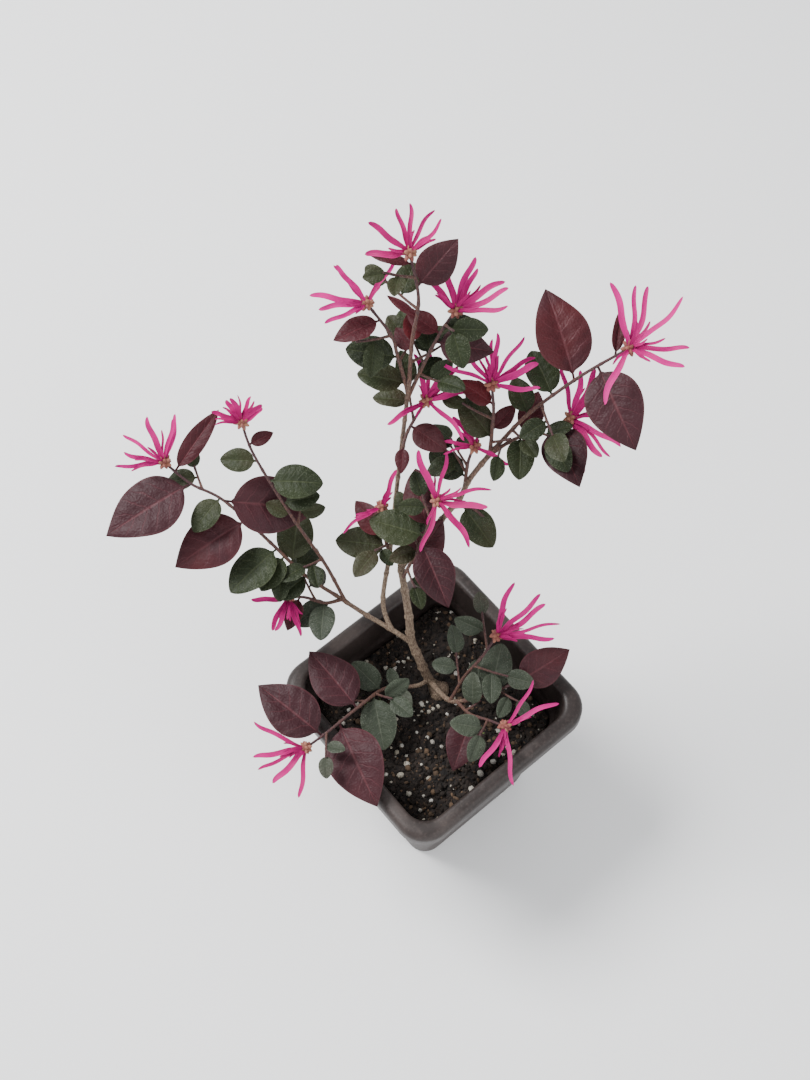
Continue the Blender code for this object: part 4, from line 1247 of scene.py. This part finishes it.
def petal_tree():
    """Straps grown from points that carry their directions, a size, a lift, a curl, a twist and a sway."""
    inputs = (
        ("Rows", "Int", 29), ("Columns", "Int", 5), ("Root Half", "Float", 0.42), ("Widening", "Float", 1.7),
        ("Tip Blunt", "Float", 9.0), ("Gutter", "Float", 0.3), ("Waver", "Float", 0.035),
        ("Wavers", "Float", 8.0), ("Crinkle", "Float", 0.016), ("Crinkles", "Float", 15.0),
        ("Petal", "Material", None),
    )
    tree, nodes, given = new_tree("strap petals", inputs)
    shape = grid_on_points(nodes, given)
    across, along, shade = (read(nodes, label) for label in ("across", "along", "shade"))
    size, half, lift, curl = (read(nodes, label) for label in ("size", "half", "lift", "curl"))
    twist, sway = read(nodes, "twist") * along, read(nodes, "sway")
    turned = lift + curl * along
    ahead = size * (turned.sin() - lift.sin()) / curl
    out = size * (lift.cos() - turned.cos()) / curl
    rounded = (1 - along ** given("Tip Blunt")).at_least(0.0) ** 0.5
    wide = half * (along * given("Widening") + given("Root Half")).at_most(1.0) * rounded
    phase = shade * PETAL_PHASES
    crinkle = (along * given("Crinkles") + phase).sin() * along * size * given("Crinkle")
    waver = (along * given("Wavers") + phase).sin() * along * size * given("Waver")
    gutter = wide * across * across * given("Gutter")
    sideways = wide * across * twist.cos() + sway * along * along * size + waver
    outward = out + wide * across * twist.sin() + gutter + crinkle
    shape = moved(nodes, shape, ahead=ahead, face=outward, side=sideways)
    end_tree(nodes, shape, given("Petal"))
    return tree


PETAL_TREE = petal_tree()
print("petal tree nodes:", len(PETAL_TREE.nodes))

# %% Petals
LEAST_CURL = math.radians(1)
PETAL_TWIST = 0.7
PETAL_SWAY = 0.20
PETAL_HALF = (0.72, 1.30)
PETAL_ROOT = (0, 1.0)

# How deep or pale a blossom is, and how much its petals differ from each other
BLOSSOM_SHADES = 0.6
PETAL_SHADES = 0.4

# The thin straps of each blossom: how many, how far aside of a petal, how long, how raised and how curled.
# The curl for their room is less than their own, so that a little more than the strap is kept free.
THIN_STRAPS = 8
THIN_ASIDE = 22
THIN_LENGTH = (6, 13)
THIN_LIFT = (25, 75)
THIN_ROOM_CURL = -40
THIN_CURL = -55
THIN_HALF = 0.5
THIN_SHADE = 0.6


def petal_row(root, angle, lift, length, curl, half, shade, chance):
    """A petal's point: its place, directions and sizes in metres and radians."""
    ahead, out, side = petal_frame(angle)
    bend = math.radians(curl)
    return {
        "root": root * MM, "ahead": ahead, "face": out, "side": side * -1,
        "size": length * MM, "half": half * MM, "lift": math.radians(lift),
        "curl": bend if abs(bend) > LEAST_CURL else LEAST_CURL,
        "twist": chance.uniform(-PETAL_TWIST, PETAL_TWIST),
        "sway": chance.uniform(-PETAL_SWAY, PETAL_SWAY), "shade": shade,
    }


def make_petals():
    """The planned petals, and thin curled ones in the middle of each blossom."""
    chance = random.Random(SEED + 2)
    shades = {name: chance.random() * BLOSSOM_SHADES for name, tip, angles in GARDEN.knots}
    rows = []
    for owner, tip, angle, lift, length, curl in GARDEN.petals:
        shade = min(1.0, shades[owner] + chance.random() * PETAL_SHADES)
        root = tip + laid(*FAN_OUT) * chance.uniform(*PETAL_ROOT)
        half = PETAL_WIDE / 2 * chance.uniform(*PETAL_HALF)
        rows.append(petal_row(root, angle, lift, length, curl, half, shade, chance))
    for owner, tip, angles in GARDEN.knots:
        for _ in range(THIN_STRAPS):
            angle = chance.choice(angles) + chance.uniform(-THIN_ASIDE, THIN_ASIDE)
            length = chance.uniform(*THIN_LENGTH)
            lift = chance.uniform(*THIN_LIFT)
            room = petal_room(tip, angle, lift, length, THIN_ROOM_CURL)
            if not GARDEN.touches(owner, room, ("leaf",)):
                shade = shades[owner] * THIN_SHADE
                rows.append(petal_row(tip, angle, lift, length, THIN_CURL, THIN_HALF, shade, chance))
    return grown("blossom_petals", plan_mesh("blossom_petals", rows), PETAL_TREE, {"Petal": PETAL_FINISH})


PETALS = make_petals()

# %% [markdown]
# ## Calyxes
# The straps come out of a cluster of little hairy scales, tan with a purple cast. Each is a ball drawn out
# along its own direction, so a tree that puts balls on points and turns each one is all it takes.

# %% Calyx tree
SCALES = 17
SCALE_OUT = (0.375, 0.675)
GOLDEN_TURN = math.pi * (3 - math.sqrt(5))


def calyx_tree():
    """Long small balls on points, each turned to the point's direction."""
    inputs = (("Width", "Float", 0.8 * MM), ("Length", "Float", 1.9 * MM), ("Calyx", "Material", None))
    tree, nodes, given = new_tree("calyx scales", inputs)
    ball = nodes.add("GeometryNodeMeshIcoSphere", {}, {"Radius": 1.0, "Subdivisions": 2})
    sizes = {"X": given("Width"), "Y": given("Width"), "Z": given("Length")}
    scale = nodes.add("ShaderNodeCombineXYZ", {}, sizes)
    aim = read(nodes, "aim", "FLOAT_VECTOR")
    turn = nodes.add("FunctionNodeAlignRotationToVector", {"axis": "Z"}, {"Vector": aim})
    laid_out = {"Points": given("Geometry"), "Instance": ball, "Rotation": turn, "Scale": scale}
    copies = nodes.add("GeometryNodeInstanceOnPoints", {}, laid_out)
    real = nodes.add("GeometryNodeRealizeInstances", {}, {"Geometry": copies})
    end_tree(nodes, real, given("Calyx"))
    return tree


def make_calyxes():
    """A ball of scales at each blossom that point outwards from its middle, spread by the golden angle."""
    chance = random.Random(SEED + 3)
    rows = []
    for owner, tip, angles in GARDEN.knots:
        for k in range(SCALES):
            up = 1 - 2 * (k + 0.5) / SCALES
            turn = k * GOLDEN_TURN
            ring = math.sqrt(1 - up * up)
            aim = Vector((math.cos(turn) * ring, math.sin(turn) * ring, up))
            far = KNOT_RADIUS * chance.uniform(*SCALE_OUT)
            rows.append({"root": (tip + aim * far) * MM, "aim": aim, "shade": chance.random()})
    return grown("calyx_scales", plan_mesh("calyx_scales", rows), calyx_tree(), {"Calyx": CALYX_FINISH})


CALYXES = make_calyxes()

# %% [markdown]
# ## Trunk, boughs and twigs
# Young wood is never a plain cone. It swells at each node where a leaf was, its bark is ribbed, and it
# flares where it meets the soil. Each stem's path becomes a row of points with their own thickness and age,
# and a tree sweeps a circle along it and roughens the skin. Age runs from the trunk to the tips and gives
# the colour.

# %% Stem tree
def stem_tree():
    """Bark swept along edges, with each point's own thickness."""
    inputs = (
        ("Sides", "Int", 16), ("Relief", "Float", 0.22), ("Relief Scale", "Float", 900.0),
        ("Bark", "Material", None),
    )
    tree, nodes, given = new_tree("bark", inputs)
    line = nodes.add("GeometryNodeMeshToCurve", {}, {"Mesh": given("Geometry")})
    thick = read(nodes, "thick")
    circle = nodes.add("GeometryNodeCurvePrimitiveCircle", {}, {"Resolution": given("Sides"), "Radius": 1.0})
    sweep = {"Curve": line, "Profile Curve": circle, "Scale": thick, "Fill Caps": True}
    skin = nodes.add("GeometryNodeCurveToMesh", {}, sweep)
    ribs = nodes.add("ShaderNodeTexNoise", {}, {"Scale": given("Relief Scale"), "Detail": 3.0})
    rough = (ribs - 0.5) * given("Relief") * thick
    offset = scaled(nodes, nodes.add("GeometryNodeInputNormal"), rough)
    skin = nodes.add("GeometryNodeSetPosition", {}, {"Geometry": skin, "Offset": offset})
    end_tree(nodes, skin, given("Bark"))
    return tree


STEM_TREE = stem_tree()
print("stem tree nodes:", len(STEM_TREE.nodes))

# %% Stems
STEM_STEP = 0.6
STEM_LEAST = 4

# Nodes: the first one's distance from the root, how far apart, closer on side twigs, how swollen, how wide
FIRST_NODE = 2
NODE_EVERY = (9, 13)
SIDE_TWIG_NODES = 0.6
NODE_SWELL, NODE_SPREAD = 0.22, 0.8

# A stem also swells at its root, and the trunk flares at the soil and goes on into it
ROOT_SWELL, ROOT_SPREAD = 0.35, 1.6
FOOT_FLARE = 0.75
FOOT_SUNK = 1.6

# How old the wood is at the start and at the end of each kind of stem
AGES = {"trunk": (1.0, 0.82), "bough": (0.80, 0.50), "spray": (0.46, 0.05), "side twig": (0.34, 0.12)}


def stem_rows(owner, kind, path, radii, chance):
    """Points along a stem with its thickness and age. It starts inside its carrier."""
    whole = lengths_along(path)[-1]
    count = max(STEM_LEAST, round(whole / STEM_STEP))
    young, old = AGES["side twig" if kind == "side twig" else owner.split("_")[0]][::-1]
    pace = SIDE_TWIG_NODES if kind == "side twig" else 1
    knuckles = [FIRST_NODE + chance.uniform(*NODE_EVERY) * pace]
    while knuckles[-1] < whole:
        knuckles.append(knuckles[-1] + chance.uniform(*NODE_EVERY) * pace)
    rows = []
    for i in range(count + 1):
        share = i / count
        far = whole * share
        place = at_distance(path, far)[0]
        swell = sum(math.exp(-(((far - knuckle) / NODE_SPREAD) ** 2)) for knuckle in knuckles)
        thick = radii[0] + (radii[1] - radii[0]) * share
        thick *= 1 + NODE_SWELL * swell + ROOT_SWELL * math.exp(-far / ROOT_SPREAD)
        if owner == "trunk":
            near = max(0.0, 1 - (place.z - TRUNK_FOOT[2]) / FLARE_UP)
            thick *= 1 + FOOT_FLARE * near**2
        rows.append({"root": place * MM, "thick": thick * MM, "age": old + (young - old) * share})
    if owner == "trunk":
        rows.insert(0, dict(rows[0], root=rows[0]["root"] - Vector((0, 0, FOOT_SUNK * MM))))
    return rows


def make_stems(name, stems, sides):
    """One piece from several stems."""
    chance = random.Random(SEED + 4)
    rows = []
    edges = []
    for stem in stems:
        fresh = stem_rows(*stem, chance)
        edges += [(len(rows) + i, len(rows) + i + 1) for i in range(len(fresh) - 1)]
        rows += fresh
    return grown(name, plan_mesh(name, rows, edges), STEM_TREE, {"Sides": sides, "Bark": BARK_FINISH})


LIMBS = make_stems("bark_limbs", [stem for stem in GARDEN.stems if stem[1] == "limb"], 16)
TWIGS = make_stems("spray_twigs", [stem for stem in GARDEN.stems if stem[1] != "limb"], 10)

# %% [markdown]
# ## Pot
# A nursery pot is blow-moulded: a tapered box with round corners, a shoulder, and a rim rolled out and down
# for stiffness. It is modelled as one profile that runs up the outside, over the rim and down the inside,
# with a rounded square ring at each step. Faint ribs run down the inner walls.

# %% Rings of the pot
POT_SIDE, POT_HEIGHT = 90.0, 85.0
WALL, POT_FLOOR, BASE_SIDE = 1.3, 1.5, 61.4
RIM_WIDTH, RIM_DROP, RIM_THICK = 6.6, 7.5, 2.6
RIM_ROUND, RIM_INNER_ROUND = 3.0, 1.9
SHOULDER_UP, SHOULDER_STEP, SHOULDER_TALL = 69.0, 1.0, 1.5
OUTER_CORNER, INNER_CORNER, BASE_CORNER, LEAST_CORNER = 12.0, 8.6, 7.0, 1.0
RIM_CORNER_PACE = 0.52
BASE_ROUND, BASE_INSET = 1.2, 8.0
CREASE = 0.8
CORNER_STEPS, SIDE_STEPS = 10, 38
RIB_EVERY, RIB_HIGH = 6, 0.28


def square_ring(half, corner, up, rib=0.0):
    """Points round a square with round corners. Every few points along a side stand in by the rib."""
    ring = []
    for quarter in range(4):
        start = math.pi / 2 * quarter
        diagonal = start + math.pi / 4
        middle = Vector((math.cos(diagonal), math.sin(diagonal), 0)) * math.sqrt(2) * (half - corner)
        for i in range(CORNER_STEPS + 1):
            turn = start + math.pi / 2 * i / CORNER_STEPS
            ring.append(middle + Vector((math.cos(turn) * corner, math.sin(turn) * corner, up)))
        outward = Vector((math.cos(start + math.pi / 2), math.sin(start + math.pi / 2), 0))
        along = Vector((-outward.y, outward.x, 0))
        first = ring[-1].copy()
        for i in range(1, SIDE_STEPS):
            spot = first + along * 2 * (half - corner) * i / SIDE_STEPS
            ring.append(spot - outward * (rib if i % RIB_EVERY == 0 else 0.0))
    return ring


def wall_half(up):
    """Half the pot's outer side at a height below the rim."""
    low, high = BASE_SIDE / 2, POT_SIDE / 2 - RIM_WIDTH + WALL
    return low + (high - low - SHOULDER_STEP) * up / POT_HEIGHT + SHOULDER_STEP * (up > SHOULDER_UP)


def wall_corner(up):
    """The radius of the wall's inner corner at a height."""
    return BASE_CORNER + (INNER_CORNER - BASE_CORNER) * up / POT_HEIGHT


def arc(middle_half, middle_up, radius, start, end, steps):
    """A round part of the profile as (half, up), between two angles in degrees."""
    turns = [math.radians(start + (end - start) * i / steps) for i in range(steps + 1)]
    return [(middle_half + radius * math.cos(t), middle_up + radius * math.sin(t)) for t in turns]


def pot_rings():
    """The pot's profile, from its underside up, over the rim and down inside."""
    half, base = POT_SIDE / 2, wall_half(0)
    ceiling, skirt = POT_HEIGHT - RIM_THICK, POT_HEIGHT - RIM_DROP
    step = SHOULDER_UP + SHOULDER_TALL
    shoulder = (SHOULDER_UP - CREASE, SHOULDER_UP, step, step + CREASE)
    heel = arc(base - BASE_ROUND, BASE_ROUND, BASE_ROUND, -90, 0, 4)
    lip = arc(half - WALL / 2, skirt + WALL / 2, WALL / 2, 180, 360, 6)
    outer = arc(half - RIM_ROUND, POT_HEIGHT - RIM_ROUND, RIM_ROUND, 0, 90, 8)
    inner_half, inner_up = half - RIM_WIDTH + RIM_INNER_ROUND, POT_HEIGHT - RIM_INNER_ROUND
    inner = arc(inner_half, inner_up, RIM_INNER_ROUND, 90, 180, 6)
    under = [(half - WALL - CREASE, ceiling), (half - WALL, ceiling - CREASE), (half - WALL, skirt + 0.5)]
    rings = []
    for h, up in [(base - BASE_ROUND - BASE_INSET, 0.0), *heel]:
        rings.append(square_ring(h, max(LEAST_CORNER, BASE_CORNER + WALL - (base - h)), up))
    for up in (20, 45, *shoulder, ceiling - CREASE / 2):
        rings.append(square_ring(wall_half(up), wall_corner(up) + WALL, up))
    for h, up in under + lip + outer + inner:
        rings.append(square_ring(h, OUTER_CORNER - (half - h) * RIM_CORNER_PACE, up))
    for up in (ceiling - 1, *reversed(shoulder), 64, 50, 30, POT_FLOOR + BASE_ROUND, POT_FLOOR):
        rib = RIB_HIGH if up <= step + CREASE else 0.0
        rings.append(square_ring(wall_half(up) - WALL, wall_corner(up), up, rib))
    return rings


print("rings of the pot:", len(pot_rings()))

# %% Pot shell
DRAIN_HOLE, DRAIN_OUT, DRAIN_SIDES = 7.0, 20.0, 24
CRISP_EDGE = math.radians(50)


def plain_piece(name, shape, material):
    """A piece from corners in millimetres and faces."""
    points, faces = shape
    mesh = bpy.data.meshes.new(name)
    mesh.from_pydata([tuple(p * MM) for p in points], [], faces)
    mesh.materials.append(material)
    mesh.shade_smooth()
    return shown(name, mesh)


def drains():
    """Four short rods where the drain holes go."""
    bm = bmesh.new()
    rod = {"radius1": DRAIN_HOLE / 2 * MM, "radius2": DRAIN_HOLE / 2 * MM, "depth": 4 * POT_FLOOR * MM}
    for x, y in ((1, 1), (-1, 1), (-1, -1), (1, -1)):
        spot = Matrix.Translation(Vector((x, y, 0)) * DRAIN_OUT * MM)
        bmesh.ops.create_cone(bm, cap_ends=True, segments=DRAIN_SIDES, matrix=spot, **rod)
    mesh = bpy.data.meshes.new("drains")
    bm.to_mesh(mesh)
    bm.free()
    return shown("drains", mesh)


def make_pot():
    """The shell, with its drain holes cut by a Boolean that is applied."""
    holder = plain_piece("whole_pot", loft(pot_rings()), POT_FINISH)
    cutter = drains()
    cut = holder.modifiers.new("drain holes", "BOOLEAN")
    cut.operation = "DIFFERENCE"
    cut.object = cutter
    made = applied(holder)
    bpy.data.objects.remove(cutter)
    made.set_sharp_from_angle(angle=CRISP_EDGE)
    return shown("pot_shell", made)


POT = make_pot()
print("pot_shell faces:", len(POT.data.polygons))

# %% [markdown]
# ## Soil
# Peat is a heap of crumbs with pale perlite grains and a little moss. One rough bed fills the pot, and
# crumbs are scattered over it by a tree that strews small balls on a surface, each turned and scaled at
# random. Where they lie thick is painted on the bed as a number, so the same tree also does the perlite and
# the moss.

# %% Bed
SOIL_BUMP, SOIL_GRAIN, SOIL_EDGE_DROP = 0.9, 0.11, 0.6
LEVEL_ROUND_TRUNK = (6.0, 8.0)
SOIL_GAP = 0.39
CLOD_HIGH, CLOD_SCALE, CLOD_LAYER, CLOD_AT_TRUNK = 1.5, 0.42, 3, 0.35
CLOD_NOISE = (0.7, 2.2, 4)
BED_UNDER = 0.3
BED_RINGS = 44
BED_WIDEST, BED_NARROWEST = 0.985, 0.006


def soil_up(place):
    """The height of the soil's surface, level where the trunk stands, with clods on it."""
    foot = laid(*TRUNK_FOOT)
    flat, fade = LEVEL_ROUND_TRUNK
    rough = min(1.0, max(0.0, (math.hypot(place.x - foot.x, place.y - foot.y) - flat) / fade))
    swell = SOIL_BUMP * rough * noise.noise(Vector((place.x, place.y, SEED)) * SOIL_GRAIN)
    clods = CLOD_HIGH * noise.fractal(Vector((place.x, place.y, CLOD_LAYER)) * CLOD_SCALE, *CLOD_NOISE)
    return SOIL_UP + swell + clods * (CLOD_AT_TRUNK + (1 - CLOD_AT_TRUNK) * rough)


def make_bed():
    """The bed's solid and, apart, its top alone to strew on."""
    edge = SOIL_UP - SOIL_EDGE_DROP
    inset = WALL + SOIL_GAP
    heights = (POT_FLOOR + BED_UNDER, edge)
    rings = [square_ring(wall_half(up) - inset, wall_corner(up) - SOIL_GAP, up) for up in heights]
    for k in range(BED_RINGS):
        share = BED_WIDEST * (1 - k / BED_RINGS) + BED_NARROWEST
        ring = square_ring((wall_half(edge) - inset) * share, wall_corner(edge) * share, 0)
        rings.append([Vector((p.x, p.y, soil_up(p))) for p in ring])
    return plain_piece("peat_bed", loft(rings), PEAT_FINISH), loft(rings[2:])


BED, BED_TOP = make_bed()
print("peat_bed faces:", len(BED.data.polygons))

# %% Strewing tree
FULL_TURN = 6.28


def strew_tree():
    """Small uneven balls strewn over a surface, as thick as its room value says."""
    inputs = (
        ("Density", "Float", 400000.0), ("Smallest", "Float", 0.3 * MM), ("Largest", "Float", 1.0 * MM),
        ("Roundness", "Float", 0.6), ("Ball Detail", "Int", 1), ("Seed", "Int", 1),
        ("Lump Scale", "Float", 1400.0), ("Lump Push", "Float", 0.6 * MM), ("Grain", "Material", None),
    )
    tree, nodes, given = new_tree("strewn grains", inputs)
    much = read(nodes, "room") * given("Density")
    spread = {"Mesh": given("Geometry"), "Density": much, "Seed": given("Seed")}
    points = nodes.add("GeometryNodeDistributePointsOnFaces", {}, spread)
    ball = nodes.add("GeometryNodeMeshIcoSphere", {}, {"Radius": 1.0, "Subdivisions": given("Ball Detail")})

    def chance(low, high, seed):
        """A random number for each ball. The node's number sockets go by 2 and 3, its seed by 8."""
        return nodes.add("FunctionNodeRandomValue", {"data_type": "FLOAT"}, {2: low, 3: high, 8: seed}, 1)

    size = chance(0.0, 1.0, 11)
    size = given("Smallest") + (given("Largest") - given("Smallest")) * size * size
    uneven = {i: size * chance(given("Roundness"), 1.0, 21 + i) for i in range(3)}
    scale = nodes.add("ShaderNodeCombineXYZ", {}, uneven)
    turns = nodes.add("ShaderNodeCombineXYZ", {}, {i: chance(0.0, FULL_TURN, 31 + i) for i in range(3)})
    turn = nodes.add("FunctionNodeEulerToRotation", {}, {"Euler": turns})
    laid_out = {"Points": points, "Instance": ball, "Rotation": turn, "Scale": scale}
    copies = nodes.add("GeometryNodeInstanceOnPoints", {}, laid_out)
    copies = store(nodes, copies, "shade", chance(0.0, 1.0, 41), "INSTANCE")
    real = nodes.add("GeometryNodeRealizeInstances", {}, {"Geometry": copies})
    place = nodes.add("GeometryNodeInputPosition")
    bumpy = {"Vector": place, "Scale": given("Lump Scale"), "Detail": 2.0}
    lumps = nodes.add("ShaderNodeTexNoise", {}, bumpy, "Color")
    centred = nodes.add("ShaderNodeVectorMath", {"operation": "SUBTRACT"}, {0: lumps, 1: (0.5, 0.5, 0.5)})
    push = scaled(nodes, centred, given("Lump Push"))
    real = nodes.add("GeometryNodeSetPosition", {}, {"Geometry": real, "Offset": push})
    end_tree(nodes, real, given("Grain"))
    return tree


STREW_TREE = strew_tree()
print("strewing tree nodes:", len(STREW_TREE.nodes))

# %% Grains
# Where moss grows: its place to the right and away, and how wide it spreads
MOSS_SPOTS = ((14, -12, 8), (20, 12, 9), (-24, 2, 6), (22, -44, 6))


def everywhere(place):
    """The same in every place."""
    return 1.0


def mossy(place):
    """How mossy the soil is: thick in a few small patches."""
    total = 0.0
    for right, away, wide in MOSS_SPOTS:
        spot = laid(right, away, 0)
        total += math.exp(-(((place.x - spot.x) ** 2 + (place.y - spot.y) ** 2) / (wide / 2) ** 2))
    return total


# Each kind of grain: what the tree is given, and where it lies
GRAIN_INPUTS = ("Density", "Smallest", "Largest", "Roundness", "Ball Detail", "Seed", "Grain")
GRAINS = {
    "peat_crumbs": ((620000.0, 0.4 * MM, 1.7 * MM, 0.35, 1, 3, CRUMB_FINISH), everywhere),
    "perlite_grains": ((26000.0, 0.5 * MM, 1.7 * MM, 0.6, 2, 5, PERLITE_FINISH), everywhere),
    "moss_tufts": ((1500000.0, 0.3 * MM, 0.8 * MM, 0.5, 1, 7, MOSS_FINISH), mossy),
}


def strew(name, values, room):
    """Strew grains over the bed's top, as thick as room(place) says there."""
    points, faces = BED_TOP
    mesh = bpy.data.meshes.new(name)
    mesh.from_pydata([tuple(p * MM) for p in points], [], faces[1:])
    for item, place in zip(mesh.attributes.new("room", "FLOAT", "POINT").data, points):
        item.value = room(place)
    return grown(name, mesh, STREW_TREE, dict(zip(GRAIN_INPUTS, values)))


SOIL = {"peat_bed": BED}
for name, (values, room) in GRAINS.items():
    SOIL[name] = strew(name, values, room)

# %% [markdown]
# ## Floor
# The pot stands on a pale floor. The floor's top is a hair below the pot's flat underside, so that the two
# never fight for the same pixels. It is no part of the object.

# %% Floor
# Half the floor's side, and the heights of its underside and its top, in millimetres
FLOOR_HALF = 30000.0
FLOOR_UNDER, FLOOR_TOP = -20, -0.05
FLOOR_CORNERS = ((-1, -1), (1, -1), (1, 1), (-1, 1))
FLOOR_TONES = tone(0.93, 0.93, 0.93), tone(0.95, 0.95, 0.95)


def floor_recipe(nodes):
    """Plain pale floor."""
    return nodes.mix(nodes.noise(3, 1), *FLOOR_TONES), None, 0.8


def make_floor():
    """A thin wide slab under the pot."""
    square = [Vector((x, y, 0)) * FLOOR_HALF for x, y in FLOOR_CORNERS]
    rings = [[corner + Vector((0, 0, up)) for corner in square] for up in (FLOOR_UNDER, FLOOR_TOP)]
    slab = plain_piece("pale_floor", loft(rings), finish("pale floor", floor_recipe))
    slab.data.shade_flat()
    return slab


STAGE = make_floor()
print("floor:", [round(side, 3) for side in STAGE.dimensions], "m")

# %% [markdown]
# ## Tie the pieces to the part
# Nothing here moves, so every piece rides on the one body. Each stands for the solids whose place it takes.

# %% Bodies and nodes
FLOWERING = [name for name, spray in SPRAYS.items() if spray["blossom"]]


def tie(piece, slot, *nodes):
    """Ride on the body and stand for the solids. The slot is not used."""
    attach(piece, BODY)
    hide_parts(*nodes)


tie(POT, "pot_plastic", "pot")
for piece in SOIL.values():
    tie(piece, "peat_soil", "soil")
tie(LIMBS, "bark", "trunk", *BOUGHS)
tie(TWIGS, "bark", *SPRAYS)
for name, (finish_name, kinds, sprays, base_round, tip_sharp) in LEAF_PIECES.items():
    owners = sorted({plan[0] for plan in leaves_of(kinds, sprays)})
    tie(LEAVES[name], "plum_leaf" if sprays == "all" else "green_leaf", *owners)
tie(PETALS, "blossom", *FLOWERING)
tie(CALYXES, "blossom", *FLOWERING)
print("pieces tied:", len([POT, LIMBS, TWIGS, PETALS, CALYXES, *SOIL, *LEAVES]))
